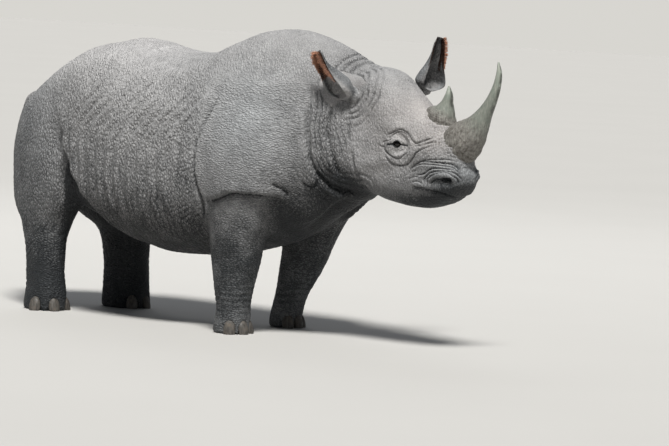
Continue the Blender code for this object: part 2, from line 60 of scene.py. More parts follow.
HEAD_YAW = math.radians(-4.0)
NAPE_X = 1.25
EYE_RADIUS = 0.021
EYE_PLACE = Vector((0.304, 0.130, 0.987))
EYE_AXIS = Vector((0.42, 0.90, 0.06)).normalized()

HEAD_TURN = Matrix.Rotation(HEAD_YAW, 3, "Z")


def middle(node):
    low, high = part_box(node)
    return (low + high) / 2


NAPE = middle("eye_right") - HEAD_TURN @ Vector((EYE_PLACE.x, -EYE_PLACE.y, EYE_PLACE.z))
BODY_ORIGIN = NAPE - Vector((NAPE_X, 0, 0))
HEAD = Matrix.Translation(NAPE) @ HEAD_TURN.to_4x4()

# The skin's voxels, where it is made finer for neck and head, and how much the flesh swells.
BODY_VOXEL = 0.009
HEAD_FROM_X = 1.0
CLOSE_GAPS = 0.0008

# Where the skin is halved again round each eye and nostril, in the head's frame, and how far round.
FINER = [(EYE_PLACE, 0.062), (EYE_PLACE, 0.75 * 0.062), ((0.540, 0.07, 0.838), 0.140)]

# How far a groove's walls are drawn to its middle.
PINCH = 0.35

SIDES = (("right", -1), ("left", 1))
LEGS = [part + "_" + side for part in ("foreleg", "forefoot", "hindleg", "hindfoot") for side, _ in SIDES]
FLESH = ["head", "lower_jaw", "neck", "trunk", "tail"] + LEGS


def smooth_rows(rows, steps):
    """Rows between the given ones, on a curve through all of them."""
    rows = np.array(rows, float)
    ends = np.vstack([2 * rows[0] - rows[1], rows, 2 * rows[-1] - rows[-2]])
    found = []
    for i in range(1, len(ends) - 2):
        a, b, c, d = ends[i - 1 : i + 3]
        for t in np.arange(steps) / steps:
            bend = (2 * a - 5 * b + 4 * c - d) * t * t + (3 * b - 3 * c + d - a) * t**3
            found.append(b + 0.5 * ((c - a) * t + bend))
    found.append(rows[-1])
    return np.array(found)


def smoothstep(value, low=0.0, high=1.0):
    t = np.clip((value - low) / (high - low), 0, 1)
    return t * t * (3 - 2 * t)


def hill(value, width):
    return np.exp(-((value / width) ** 2))


def window(value, low, high, soft):
    """1 between low and high, fading to 0 over soft outside."""
    return smoothstep(value, low - soft, low) * (1 - smoothstep(value, high, high + soft))


def tapered(share, ends):
    """1 along a line, fading to 0 over that share of it at both ends."""
    return smoothstep(share, 0, ends) * smoothstep(1 - share, 0, ends)


def cloud(points, size, seed=0):
    """Smooth noise from about -1 to 1 with features of that size."""
    offset = Vector((7.3 * seed, 3.1 * seed, 5.7 * seed))
    return np.array([noise.noise(Vector(p) + offset) for p in points / size])


def cells(points, size):
    """How far a point is inside its cell of a crackle pattern, from 0 at the crack."""
    found = []
    for p in points / size:
        distances = noise.voronoi(Vector(p))[0]
        found.append(distances[1] - distances[0])
    return np.array(found)


def new_object(name, mesh):
    obj = bpy.data.objects.new(name, mesh)
    bpy.context.scene.collection.objects.link(obj)
    return obj


def applied(obj):
    """The object's modifiers applied to its mesh."""
    graph = bpy.context.evaluated_depsgraph_get()
    mesh = bpy.data.meshes.new_from_object(obj.evaluated_get(graph))
    obj.modifiers.clear()
    obj.data = mesh
    return mesh


def ring_mesh(name, rings):
    """A closed skin over equal rings of points."""
    rings = np.array(rings)
    levels, count, _ = rings.shape
    faces = [tuple(range(count))[::-1], tuple(range((levels - 1) * count, levels * count))]
    for i in range(levels - 1):
        for j in range(count):
            k = (j + 1) % count
            faces.append((i * count + j, i * count + k, (i + 1) * count + k, (i + 1) * count + j))
    mesh = bpy.data.meshes.new(name)
    mesh.from_pydata(rings.reshape(-1, 3).tolist(), [], faces)
    form = bmesh.new()
    form.from_mesh(mesh)
    bmesh.ops.recalc_face_normals(form, faces=form.faces[:])
    return meshed(form, mesh)


def read(vertices, name):
    """A property of three parts, of every vertex."""
    found = np.empty(len(vertices) * 3, np.float32)
    vertices.foreach_get(name, found)
    return found.reshape(-1, 3).astype(float)


def paint(mesh, **layers):
    for name, values in layers.items():
        layer = mesh.attributes.new(name, "FLOAT", "POINT")
        layer.data.foreach_set("value", np.asarray(values, np.float32))


def meshed(form, mesh):
    """The mesh, made from the form and shaded smooth. The form itself is freed."""
    form.to_mesh(mesh)
    form.free()
    mesh.shade_smooth()
    return mesh


# The ears

EAR_ROWS = [
    # Share of the length, half width, depth of the cup, wall, half opening in degrees, hollow.
    (0.00, 0.013, 0.012, 0.010, 38, 0.0),
    (0.05, 0.034, 0.030, 0.012, 40, 0.0),
    (0.11, 0.048, 0.039, 0.012, 43, 0.15),
    (0.20, 0.066, 0.048, 0.011, 52, 0.75),
    (0.32, 0.075, 0.064, 0.009, 63, 1.0),
    (0.48, 0.064, 0.062, 0.008, 70, 1.0),
    (0.64, 0.047, 0.043, 0.008, 74, 1.0),
    (0.80, 0.035, 0.022, 0.007, 76, 1.0),
    (0.92, 0.028, 0.017, 0.006, 76, 1.0),
    (1.00, 0.014, 0.009, 0.005, 74, 1.0),
]
# Base, tip, the way the cup faces, how far its middle hangs off the straight line, breadth, and the
# point in the head from which the stem comes.
EARS = {
    "ear_right": (
        (0.030, -0.160, 1.193), (-0.081, -0.302, 1.411), (-0.21, -0.93, -0.31),
        (-0.030, -0.003, -0.026), 1.0, (0.050, -0.085, 1.170),
    ),
    "ear_left": (
        (0.173, 0.188, 1.240), (0.228, 0.218, 1.499), (1.0, 0.02, -0.01),
        (0.009, -0.001, -0.050), 1.17, (0.070, 0.090, 1.190),
    ),
}
# The stem's radii, at what share of the ear's length it ends, and how far behind the cup's middle.
STEM_ROOT = 0.054
STEM_END = 0.038
STEM_SHARE = 0.06
STEM_BACK = 0.014
# Points round the cup's outside and inside, and rows between two of EAR_ROWS.
EAR_OUTER = 36
EAR_INNER = 30
EAR_STEPS = 8


class Ear:
    """The solid ear's cupped form in the head's frame, finer, with a narrower and rounder foot."""

    def __init__(self, name):
        base, tip, opening, bow, self.breadth, root = EARS[name]
        self.base, self.tip, self.bow, self.root = Vector(base), Vector(tip), Vector(bow), Vector(root)
        self.along = (self.tip - self.base).normalized()
        opening = Vector(opening)
        self.face = (opening - self.along * opening.dot(self.along)).normalized()
        self.across = self.along.cross(self.face)
        self.rows = smooth_rows(EAR_ROWS, EAR_STEPS)

    def row_at(self, share):
        return [np.interp(share, self.rows[:, 0], self.rows[:, i]) for i in range(6)]

    def centre(self, share):
        return self.base.lerp(self.tip, share) + self.bow * math.sin(math.pi * share) ** 0.8

    def point(self, share, turn, inset=0.0):
        """turn runs from -1 to 1 round the outside, and its ends are the two rims."""
        _, width, depth, _, half_open, hollow = self.row_at(share)
        width *= 1 + (self.breadth - 1) * hollow
        angle = math.radians(180 + (180 - half_open) * turn)
        out = self.face * (depth - inset) * math.cos(angle)
        return self.centre(share) + out + self.across * (width - inset) * math.sin(angle)

    def cup_mesh(self, name):
        rings = []
        for share in self.rows[:, 0]:
            share = min(max(share, 0.0), 1.0)
            _, width, depth, wall, half_open, hollow = self.row_at(share)
            width *= 1 + (self.breadth - 1) * hollow
            ring = [self.point(share, -1 + 2 * i / (EAR_OUTER - 1)) for i in range(EAR_OUTER)]
            for i in range(1, EAR_INNER + 1):
                turn = 1 - 2 * i / (EAR_INNER + 1)
                inner = self.point(share, turn, wall)
                front = math.radians(-half_open * turn)
                lid = self.centre(share) + self.face * depth * math.cos(front)
                lid += self.across * width * math.sin(front)
                ring.append(lid.lerp(inner, hollow))
            rings.append([HEAD @ point for point in ring])
        return ring_mesh(name, rings)

    def stem_mesh(self, name):
        """The stem between the head and the cup: a tapered bar with rounded ends."""
        end = self.centre(STEM_SHARE) - self.face * STEM_BACK
        along = (end - self.root).normalized()
        across = along.orthogonal().normalized()
        other = along.cross(across)
        rings = []
        angles = [2 * math.pi * i / EAR_OUTER for i in range(EAR_OUTER)]
        ends = (self.root, STEM_ROOT, range(-80, 1, 10)), (end, STEM_END, range(0, 81, 10))
        for centre, radius, tilts in ends:
            for tilt in map(math.radians, tilts):
                place = centre + along * radius * math.sin(tilt)
                reach = radius * math.cos(tilt)
                ring = [place + (across * math.cos(a) + other * math.sin(a)) * reach for a in angles]
                rings.append([HEAD @ point for point in ring])
        return ring_mesh(name, rings)


# The skin's first form


def joined_flesh():
    """The flesh nodes in one mesh, swollen a little so that the gaps between them close."""
    form = bmesh.new()
    for name in FLESH:
        form.from_mesh(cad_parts[name].data)
    bmesh.ops.remove_doubles(form, verts=form.verts[:], dist=1e-5)
    form.normal_update()
    for vertex in form.verts:
        vertex.co += vertex.normal * CLOSE_GAPS
    for _, side in SIDES:
        plug = lateral(EYE_PLACE, side) + lateral(EYE_AXIS, side) * 0.002
        add_ball(form, HEAD @ plug, (0.040, 0.026, 0.026), HEAD_YAW)
    low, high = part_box("tail_tuft")
    place = Vector(((low.x + high.x) / 2, (low.y + high.y) / 2, high.z - 0.05))
    add_ball(form, place, (0.014, 0.014, 0.10), 0)
    return meshed(form, bpy.data.meshes.new("skin"))


def lateral(vector, side):
    return Vector((vector.x, vector.y * side, vector.z))


def add_ball(form, place, radii, yaw):
    matrix = Matrix.Translation(place) @ Matrix.Rotation(yaw, 4, "Z") @ Matrix.Diagonal((*radii, 1))
    bmesh.ops.create_icosphere(form, subdivisions=3, radius=1, matrix=matrix)


class Skin:
    """The skin's vertices as arrays, with what smooths and moves them."""

    def __init__(self, mesh):
        self.mesh = mesh
        self.points = read(mesh.vertices, "co")
        edges = np.empty(len(mesh.edges) * 2, np.int32)
        mesh.edges.foreach_get("vertices", edges)
        self.edges = edges.reshape(-1, 2)
        self.degree = np.bincount(edges, minlength=len(self.points)).astype(float)
        # Painted shade: in the grooves, in the body's deepest shadows, and round the eyes.
        self.groove, self.shade, self.eye_rim_shade = np.zeros((3, len(self.points)))
        self.update()

    def update(self):
        """Writes the points to the mesh, and reads its normals and the points in both frames."""
        self.mesh.vertices.foreach_set("co", self.points.astype(np.float32).ravel())
        self.mesh.update()
        self.normals = read(self.mesh.vertices, "normal")
        self.body = self.points - np.array(BODY_ORIGIN)
        self.head = (self.points - np.array(NAPE)) @ np.array(HEAD_TURN)
        self.headwards = smoothstep(self.body[:, 0], 1.18, 1.30)
        self.outward = self.normals[:, 1] * np.sign(self.body[:, 1])

    def average(self, values):
        """The average of each vertex's neighbours."""
        a, b = self.edges.T
        count = len(values)
        parts = [np.bincount(a, part[b], count) + np.bincount(b, part[a], count) for part in values.T]
        return np.stack(parts, 1) / self.degree[:, None]

    def soften(self, passes, strength):
        """Laplacian smoothing, with what it took from the broad form given back."""
        strength = np.broadcast_to(strength, len(self.points))[:, None]
        moved = self.points.copy()
        for _ in range(passes):
            moved += strength * (self.average(moved) - moved)
        lost = self.points - moved
        for _ in range(passes):
            lost += strength * (self.average(lost) - lost)
        self.points = moved + lost
        self.update()

    def push(self, amount, index=slice(None)):
        """Moves those vertices along their normals."""
        self.points[index] += self.normals[index] * np.asarray(amount)[:, None]

    def darken(self, amount, index=slice(None)):
        """Deepens the shade in those vertices' grooves."""
        self.groove[index] = np.maximum(self.groove[index], amount)

    def beside(self, plane, line, reach):
        """The vertices near a line drawn in side view, and how they lie to it.

        plane is "body" or "head", and the line is in millimetres. Returns their indices, their
        distance to the line (more than 0 on its left with X to the right), the share of its length
        and the offset from it.
        """
        flat = getattr(self, plane)[:, ::2]
        line = smooth_rows(np.array(line) / 1000, 6)
        near = np.all((flat > line.min(0) - reach) & (flat < line.max(0) + reach), axis=1)
        index = np.nonzero(near)[0]
        where = flat[index]
        best = np.full(len(index), np.inf)
        share = np.zeros(len(index))
        sign = np.ones(len(index))
        offset = np.zeros((len(index), 2))
        lengths = np.linalg.norm(np.diff(line, axis=0), axis=1)
        run = np.concatenate([[0], np.cumsum(lengths)])
        for i, (a, b) in enumerate(zip(line[:-1], line[1:])):
            way = b - a
            t = np.clip(((where - a) @ way) / (way @ way), 0, 1)
            away = where - (a + t[:, None] * way)
            distance = np.linalg.norm(away, axis=1)
            closer = distance < best
            best = np.where(closer, distance, best)
            share = np.where(closer, (run[i] + t * lengths[i]) / run[-1], share)
            sign = np.where(closer, np.sign(way[0] * away[:, 1] - way[1] * away[:, 0]), sign)
            offset[closer] = away[closer]
        return index, best * sign, share, offset

    def step(self, line, drop, reach, side, mask, edge):
        """Sinks the body's skin on one side of a line, most at the line and fading over reach.

        side is 1 for the right of the line with X to the right, and -1 for its left.
        """
        index, signed, share, _ = self.beside("body", line, 3 * reach)
        signed = -side * signed
        sunk = smoothstep(signed, -edge / 2, edge) * hill(np.maximum(signed, 0), reach)
        sunk = sunk * tapered(share, 0.15) * mask[index]
        self.push(-drop * sunk, index)
        return index, sunk

    def crease(self, plane, line, lengths, side, mask, ends, shade_strength):
        """A groove along a line drawn in side view, its walls drawn together, with a lip beside it.

        lengths are the groove's width and depth and the lip's height and width, in millimetres.
        side is 1 for a lip on the left of the line with X to the right, and -1 for its right.
        """
        width, depth, lip, lip_width = np.array(lengths) / 1000
        index, signed, share, offset = self.beside(plane, line, max(4 * width, 3 * lip_width))
        best = np.abs(signed)
        fade = tapered(share, ends) * mask[index]
        cut = hill(best, width)
        rise = np.where(signed * side > 0, lip * hill(np.maximum(best - 1.2 * width, 0), lip_width), 0)
        self.push(fade * (rise * (1 - cut) - depth * cut), index)
        pull = np.stack([-offset[:, 0], np.zeros(len(index)), -offset[:, 1]], 1)
        if plane == "head":
            pull = pull @ np.array(HEAD_TURN).T
        self.points[index] += pull * (PINCH * fade * hill(best, 2 * width))[:, None]
        # Painted shade along the middle of the groove.
        self.darken(shade_strength * fade * hill(best, 0.55 * width) * min(1, depth / 0.012), index)


def grown_skin():
    """The voxel skin of the flesh, finer on head and neck, with the ears joined on."""
    obj = new_object("skin", joined_flesh())
    fuse = obj.modifiers.new("Fuse", "REMESH")
    fuse.mode = "VOXEL"
    fuse.voxel_size = BODY_VOXEL
    skin = Skin(applied(obj))
    x, _, z = skin.body.T
    trunkwards = smoothstep(z, 0.35, 0.75) * (1 - smoothstep(x, 1.0, 1.35))
    tail = 1 - smoothstep(x, -1.05, -0.98)
    skin.soften(130, (0.12 + 0.4 * trunkwards) * (1 - 0.8 * tail))
    form = bmesh.new()
    form.from_mesh(obj.data)
    form.verts.ensure_lookup_table()
    ahead = skin.body[:, 0] > HEAD_FROM_X
    halve(form, lambda vertex: ahead[vertex.index])
    Skin(meshed(form, obj.data)).soften(12, 0.4)
    ears = {name: Ear(name) for name in EARS}
    for name, ear in ears.items():
        for mesh in (ear.stem_mesh(name + "_stem"), ear.cup_mesh(name)):
            added = new_object(mesh.name + "_form", mesh)
            union = obj.modifiers.new(name, "BOOLEAN")
            union.operation = "UNION"
            union.solver = "MANIFOLD"
            union.object = added
            applied(obj)
            bpy.data.objects.remove(added)
    form = bmesh.new()
    form.from_mesh(obj.data)
    bmesh.ops.remove_doubles(form, verts=form.verts[:], dist=0.0004)
    for _, side in SIDES:
        for place, reach in FINER:
            centre = HEAD @ lateral(Vector(place), side)
            halve(form, lambda vertex: (vertex.co - centre).length < reach)
    meshed(form, obj.data)
    return obj, ears


def halve(form, chosen):
    """Halves the edges between chosen vertices."""
    edges = [e for e in form.edges if chosen(e.verts[0]) and chosen(e.verts[1])]
    bmesh.ops.subdivide_edges(form, edges=edges, cuts=1, use_grid_fill=True)


# Lines on the skin in side view, as x and z in millimetres.

# Where the neck's slack skin meets the shoulder.
NECK_EDGE = [(1036, 1260), (1046, 1180), (1054, 1111), (1062, 1027), (1074, 942), (1088, 872),
             (1112, 817), (1164, 756), (1225, 731), (1322, 746)]

# Folds of the body. Each row: line, width, depth, lip and lip width, all in millimetres, then the
# lip's side, the region, and how strong the painted shade in the groove is.
FOLDS = [
    # Behind the shoulder and down the flank.
    ([(574, 1211), (540, 1106), (495, 1000), (468, 909), (468, 792), (487, 703),
      (506, 621), (463, 478)], 12, 17, 8, 45, 1, "side", 0.8),
    ([(-491, 1181), (-484, 1117), (-473, 1011), (-442, 928), (-406, 838), (-362, 749),
      (-292, 647), (-214, 539)], 12, 24, 10, 50, 1, "side", 1.6),
    ([(383, 938), (384, 855), (379, 751), (371, 668)], 9, 8, 4, 20, 1, "side", 0.8),
    ([(-153, 946), (-172, 903), (-178, 860)], 8, 7, 3, 15, 1, "side", 0.8),
    # The armpit and the breast.
    ([(521, 645), (610, 655), (725, 692), (801, 693), (861, 695), (903, 688),
      (945, 668), (975, 672)], 14, 24, 18, 45, 1, "side", 0.9),
    ([(922, 760), (945, 739), (964, 715), (967, 693)], 9, 10, 4, 20, -1, "side", 0.8),
    ([(1034, 776), (1066, 750), (1097, 759), (1109, 802)], 9, 10, 4, 20, 1, "all", 0.8),
    ([(1240, 717), (1136, 660), (1024, 572), (907, 505)], 13, 12, 8, 35, -1, "all", 0.8),
    ([(1166, 676), (1073, 612), (1026, 587), (933, 545)], 10, 8, 5, 25, -1, "all", 0.7),
    # The neck.
    (NECK_EDGE[1:], 16, 22, 10, 40, -1, "side", 0.5),
    ([(1175, 1175), (1159, 1096), (1160, 1018), (1186, 928), (1208, 844), (1230, 789)],
     14, 13, 7, 28, -1, "side", 0.35),
    ([(1281, 955), (1293, 885), (1319, 816), (1348, 754)], 14, 9, 6, 35, 1, "side", 0.3),
]

# The same round the eye, on the muzzle and along the mouth, in the head's frame, up to the lip's side.
HEAD_FOLDS = [
    # Above the eye: the hood's inner and outer fold, which runs on forward over the tear hollow.
    ([(246, 1024), (272, 1036), (300, 1050), (329, 1059), (356, 1051), (380, 1032),
      (397, 1009), (416, 998), (440, 1006), (470, 1020), (500, 1034)],
     5.5, 7, 4, 14, 1),
    ([(262, 1008), (281, 1023), (305, 1040), (332, 1046), (358, 1038), (380, 1020),
      (397, 1000)], 4.8, 6, 2.5, 10, 1),
    # Below it: two bags, and the tear groove.
    ([(232, 974), (250, 953), (275, 936), (305, 924), (336, 922), (356, 936),
      (376, 956), (390, 988)], 5.5, 7, 4, 14, 1),
    ([(240, 944), (262, 918), (290, 896), (325, 888), (360, 891), (390, 909),
      (412, 932), (426, 954), (456, 974), (500, 994)], 5.5, 6.5, 4, 15, 1),
    ([(405, 985), (440, 988), (480, 1003), (520, 1012)], 5, 5, 2.5, 10, 1),
    ([(225, 992), (250, 1000), (272, 1003), (288, 1014)], 4.5, 4.5, 2, 8, 1),
    ([(196, 985), (220, 972), (246, 972)], 4.5, 4, 2, 8, 1),
    # Over the nostril.
    ([(430, 905), (458, 919), (490, 925), (530, 929), (575, 932), (611, 930)],
     5.5, 6, 3, 10, -1),
    ([(372, 866), (400, 886), (428, 903), (455, 912), (515, 915), (575, 914),
      (612, 911), (637, 895), (655, 874)], 5.5, 8.5, 4.5, 11, -1),
    ([(366, 850), (392, 871), (420, 888), (455, 900), (513, 903), (560, 902),
      (610, 899), (640, 884), (656, 862)], 5, 7, 3.5, 10, -1),
    ([(420, 848), (454, 852), (476, 862), (500, 879), (531, 888), (585, 889),
      (623, 887), (645, 874), (655, 852)], 5, 8, 4, 11, -1),
    ([(462, 812), (470, 832), (486, 850), (510, 866), (553, 876), (606, 878),
      (635, 868), (650, 846), (652, 822)], 4.8, 7, 3.5, 10, -1),
    ([(486, 800), (488, 823), (503, 843), (530, 858), (565, 868), (605, 869),
      (629, 856), (640, 836), (636, 812)], 4.8, 7, 3, 9, -1),
    # The cheek, behind the nostril and the corner of the mouth.
    ([(350, 834), (376, 850), (400, 862), (430, 870)], 4.5, 4.5, 2.5, 9, -1),
    ([(380, 826), (410, 838), (440, 838)], 4.5, 4.5, 2.5, 9, -1),
    ([(400, 812), (430, 818), (460, 812)], 4.5, 4.5, 2.5, 9, -1),
    # The mouth.
    ([(396, 792), (430, 788), (467, 785), (500, 778), (535, 776), (565, 772),
      (588, 762), (600, 748)], 7.5, 16.5, 7, 20, 1),
]

# Rings of wrinkles: centre in the head's frame, spacing, first and last radius, depth.
RINGS = [
    ((-0.008, 0.172, 1.239), 0.031, 0.062, 0.200, 0.0085),
    ((0.62, 0.085, 0.790), 0.017, 0.130, 0.300, 0.0018),
]


def furrow(phase, width=0.17):
    """A groove at every whole number."""
    return np.exp(-(((phase - np.round(phase)) / width) ** 2))


def broken(skin, index, size, seed):
    """Where a wrinkle runs on and where it stops, from 0 to 1."""
    return smoothstep(cloud(skin.points[index], size, seed), -0.25, 0.15)


def wrinkles(skin, phase, depth, mask, seed, warp, size, keep=0.35, width=0.17, shade_strength=1.0):
    """Grooves at whole phases, wandering and breaking off, where mask is above 0."""
    mask = mask * (1 - skin.ears)
    index = np.nonzero(mask > 0.01)[0]
    wandering = phase[index] + warp * cloud(skin.points[index], size, seed)
    whole = keep + (1 - keep) * broken(skin, index, size, seed + 1)
    found = furrow(wandering, width) * mask[index] * whole
    skin.push(-depth * found, index)
    # Painted shade in the grooves.
    skin.darken(shade_strength * found * min(0.8, depth / 0.009), index)


def sculpt_forms(skin):
    """The broad forms that the remeshed solid only hints at."""
    s, t, h = skin.head.T
    x, y, z = skin.body.T
    out = skin.normals[:, 1] * np.sign(t)
    sides = smoothstep(out, 0.1, 0.5) * skin.headwards
    brow = hill(s - 0.305, 0.075) * hill(h - 1.075, 0.030) * sides
    temple = hill(s - 0.13, 0.075) * hill(h - 1.075, 0.060) * sides
    cheekbone = hill(h - (0.90 + 0.25 * (s - 0.2)), 0.030) * window(s, 0.12, 0.40, 0.08) * sides
    under = hill(h - (0.845 + 0.2 * (s - 0.2)), 0.040) * window(s, 0.15, 0.38, 0.08) * sides
    nose = hill(s - 0.600, 0.060) * hill(h - 0.868, 0.028) * sides
    lip = hill(h - 0.803, 0.020) * window(s, 0.42, 0.60, 0.05) * sides
    skin.push(0.010 * brow - 0.010 * temple + 0.006 * cheekbone - 0.005 * under + 0.008 * nose + 0.005 * lip)
    spine = np.exp(-((y / 0.05) ** 2)) * smoothstep(skin.normals[:, 2], 0.5, 0.9)
    ridge = window(x, -0.75, 0.35, 0.25)
    skin.push(0.006 * spine * ridge)
    legs = z < 0.5
    hind = legs & (x < 0)
    hock = hill(x + 0.745, 0.05) * hill(z - 0.405, 0.05) * hind
    knee = hill(z - 0.36, 0.055) * (legs & (x > 0)) * smoothstep(skin.normals[:, 0], 0.0, 0.6)
    skin.push(0.008 * hock + 0.006 * knee)
    skin.update()


# The edges along which the flank hangs over the hind leg and belly, and the shoulder over the foreleg.
BELLY_EDGE = [(-500, 1050), (-473, 1011), (-442, 928), (-406, 838), (-362, 749), (-292, 647),
              (-214, 539), (-137, 458), (18, 391), (120, 370)]
# The front of the thigh: height and x, in millimetres.
THIGH_EDGE = [(400, -510), (520, -465), (620, -435), (750, -425), (900, -430)]
LEG_EDGE = [(905, 700), (890, 682), (872, 623), (846, 549), (826, 497), (799, 420)]


def sculpt_folds(skin):
    """The edges of belly, thigh and foreleg, and the body's deep folds."""
    x, _, z = skin.body.T
    side = smoothstep(skin.outward, 0.05, 0.35)
    outside = smoothstep(skin.outward, -0.2, 0.2)
    skin.step(BELLY_EDGE, 0.040, 0.100, 1, outside, 0.020)
    # Painted shadow, near black, on the belly's skin behind its hanging edge and in front of the thigh.
    index, signed, _, _ = skin.beside("body", BELLY_EDGE, 0.40)
    thigh = np.interp(z[index], *np.array(THIGH_EDGE).T / 1000)
    shadow = smoothstep(-signed, 0, 0.015) * smoothstep(x[index] - thigh, -0.02, 0.02)
    shadow *= 1 - smoothstep(z[index], 0.82, 0.92)
    skin.shade[index] = 0.9 * shadow
    # Painted shade on the inner and lower surfaces between the hind legs.
    within = smoothstep(0.15 - skin.outward, 0, 0.3) * window(z, 0.30, 0.80, 0.08)
    skin.shade = np.maximum(skin.shade, 0.6 * within * window(x, -0.80, -0.20, 0.06))
    index, sunk = skin.step(LEG_EDGE, 0.025, 0.08, -1, outside, 0.030)
    # Painted shade on the brisket beside the foreleg's edge.
    skin.darken(0.35 * sunk, index)
    skin.update()
    regions = {"side": side, "all": smoothstep(skin.outward - skin.normals[:, 2], 0, 0.4)}
    for line, *lengths, lip_side, region, shade_strength in FOLDS:
        skin.crease("body", line, lengths, lip_side, regions[region], 0.2, shade_strength)
    skin.update()


def sculpt_trunk(skin):
    """Slack skin over the ribs and at the joints, and the broad pebbles."""
    x, _, z = skin.body.T
    out = smoothstep(skin.outward, 0.1, 0.5)
    slant = x - 0.30 * smoothstep(z, 0.85, 1.35)
    ribs = window(slant, -0.45, 0.30, 0.10) * window(z, 0.60, 1.18, 0.12) * out
    index = np.nonzero(ribs > 0.01)[0]
    phase = slant[index] / 0.072 + 0.5 * cloud(skin.points[index], 0.25, 3)
    wave = np.sin(2 * np.pi * phase) * (0.35 + 0.65 * broken(skin, index, 0.2, 4))
    skin.push(0.0085 * wave * ribs[index], index)
    flank = window(x, -0.40, 0.45, 0.1) * window(z, 0.50, 1.2, 0.1) * out
    belly = window(x, -0.25, 0.50, 0.1) * window(z, 0.40, 0.62, 0.06) * out
    armpit = window(x, 0.385, 0.47, 0.02) * window(z, 0.55, 0.98, 0.06) * out
    shoulder = window(x, 0.55, 1.00, 0.06) * window(z, 0.70, 1.15, 0.10) * out
    wrists = window(z, 0.22, 0.42, 0.05) * (x > 0)
    ankles = window(z, 0.10, 0.24, 0.03)
    hocks = window(z, 0.24, 0.46, 0.05) * (x < 0)
    tail = window(z, 0.55, 1.05, 0.03) * (x < -0.98)
    rows = [
        # Phase, depth, place, seed, how far the grooves wander, over what length, and what never breaks.
        (slant / 0.034, 0.0036, flank, 5, 1.2, 0.12, 0.35),
        ((x + 0.3 * z) / 0.030, 0.0018, belly, 7, 1.2, 0.10, 0.35),
        ((z - 0.5 * x) / 0.024, 0.0040, armpit, 8, 0.5, 0.08, 0.7),
        ((z + 0.15 * x) / 0.026, 0.0018, shoulder, 9, 1.4, 0.12, 0.35),
        ((z + 0.12 * x) / 0.026, 0.0014, wrists, 17, 1.0, 0.10, 0.35),
        (z / 0.028, 0.0022, ankles, 19, 0.6, 0.10, 0.35),
        ((z - 0.8 * x) / 0.034, 0.0028, hocks, 21, 0.9, 0.10, 0.35),
        (z / 0.022, 0.0022, tail, 23, 0.4, 0.06, 0.35),
    ]
    for row in rows:
        wrinkles(skin, *row)
    pebbles = (1 - 0.8 * skin.headwards) * (1 - skin.ears)
    skin.push(0.0022 * pebbles * (cells(skin.points, 0.036) - 0.4))
    skin.push(0.0040 * cloud(skin.points, 0.13, 30) * (1 - 0.6 * skin.headwards))
    skin.update()


def sculpt_neck(skin):
    """Soft folds that run side by side down the neck and turn forward under the throat."""
    x, _, z = skin.body.T
    out = smoothstep(skin.outward - 0.6 * np.minimum(skin.normals[:, 2], 0), 0.1, 0.5)
    index, signed, share, _ = skin.beside("body", NECK_EDGE, 0.40)
    phase, ahead, behind = np.zeros((3, len(x)))
    phase[index] = signed / 0.030
    past = signed - 0.20 + 0.12 * smoothstep(share, 0.35, 0.75)
    ahead[index] = smoothstep(signed, -0.01, 0.02) * (1 - smoothstep(past, 0, 0.03))
    slack = ahead * window(z, 0.70, 1.24, 0.05) * out
    wrinkles(skin, phase, 0.0065, slack, 11, 0.9, 0.12, 0.45, width=0.26, shade_strength=0.6)
    behind[index] = window(-signed, 0.03, 0.14, 0.03)
    loose = behind * window(z, 0.80, 1.20, 0.06) * out
    wrinkles(skin, phase, 0.0030, loose, 12, 0.8, 0.14, 0.4, width=0.26, shade_strength=0.5)
    throat = window(x, 1.06, 1.28, 0.04) * window(z, 0.62, 0.74, 0.04)
    wrinkles(skin, (x + 0.5 * z) / 0.030, 0.0035, throat, 13, 0.8, 0.08, width=0.22, shade_strength=0.6)
    poll = np.hypot(x - 1.36, 0.8 * (z - 1.22))
    nape = window(poll, 0.13, 0.26, 0.02) * smoothstep(z, 1.22, 1.30)
    wrinkles(skin, poll / 0.042, 0.0075, nape, 15, 0.35, 0.15, width=0.22, shade_strength=0.7)
    skin.update()


def sculpt_head_wrinkles(skin):
    """Rings round the ears and the mouth, and fine wrinkles on chin and forehead."""
    s, t, h = skin.head.T
    for (cs, ct, ch), spacing, first, last, depth in RINGS:
        away = np.sqrt((s - cs) ** 2 + (np.abs(t) - ct) ** 2 + (h - ch) ** 2)
        mask = window(away, first, last, 0.012)
        if cs < 0.3:
            mask = mask * smoothstep(s, -0.03, 0.04)
        else:
            mask = mask * skin.headwards * (1 - window(h, 0.70, 0.79, 0.02))
        seed = 31 + int(10 * cs)
        wrinkles(skin, away / spacing, depth, mask, seed, 0.45, 0.07, width=0.22, shade_strength=0.8)
    chin = window(s, 0.34, 0.58, 0.04) * window(h, 0.70, 0.78, 0.02)
    wrinkles(skin, (h - 0.1 * s) / 0.014, 0.0014, chin, 43, 0.7, 0.05)
    forehead = window(s, 0.15, 0.44, 0.05) * smoothstep(skin.normals[:, 2], 0.3, 0.7)
    wrinkles(skin, s / 0.024, 0.0010, forehead, 45, 1.2, 0.08)
    skin.update()


def sculpt_head_folds(skin):
    """The deep folds of the head, on its sides and its front."""
    turned = skin.normals @ np.array(HEAD_TURN)
    sideways = turned[:, 1] * np.sign(skin.head[:, 1])
    facing = smoothstep(np.maximum(sideways, 0.9 * turned[:, 0]), 0.15, 0.5) * skin.headwards
    for line, *lengths, lip_side in HEAD_FOLDS:
        # Each fold gets strong painted shade along its groove.
        skin.crease("head", line, lengths, lip_side, facing, 0.12, 1.5)
    skin.update()


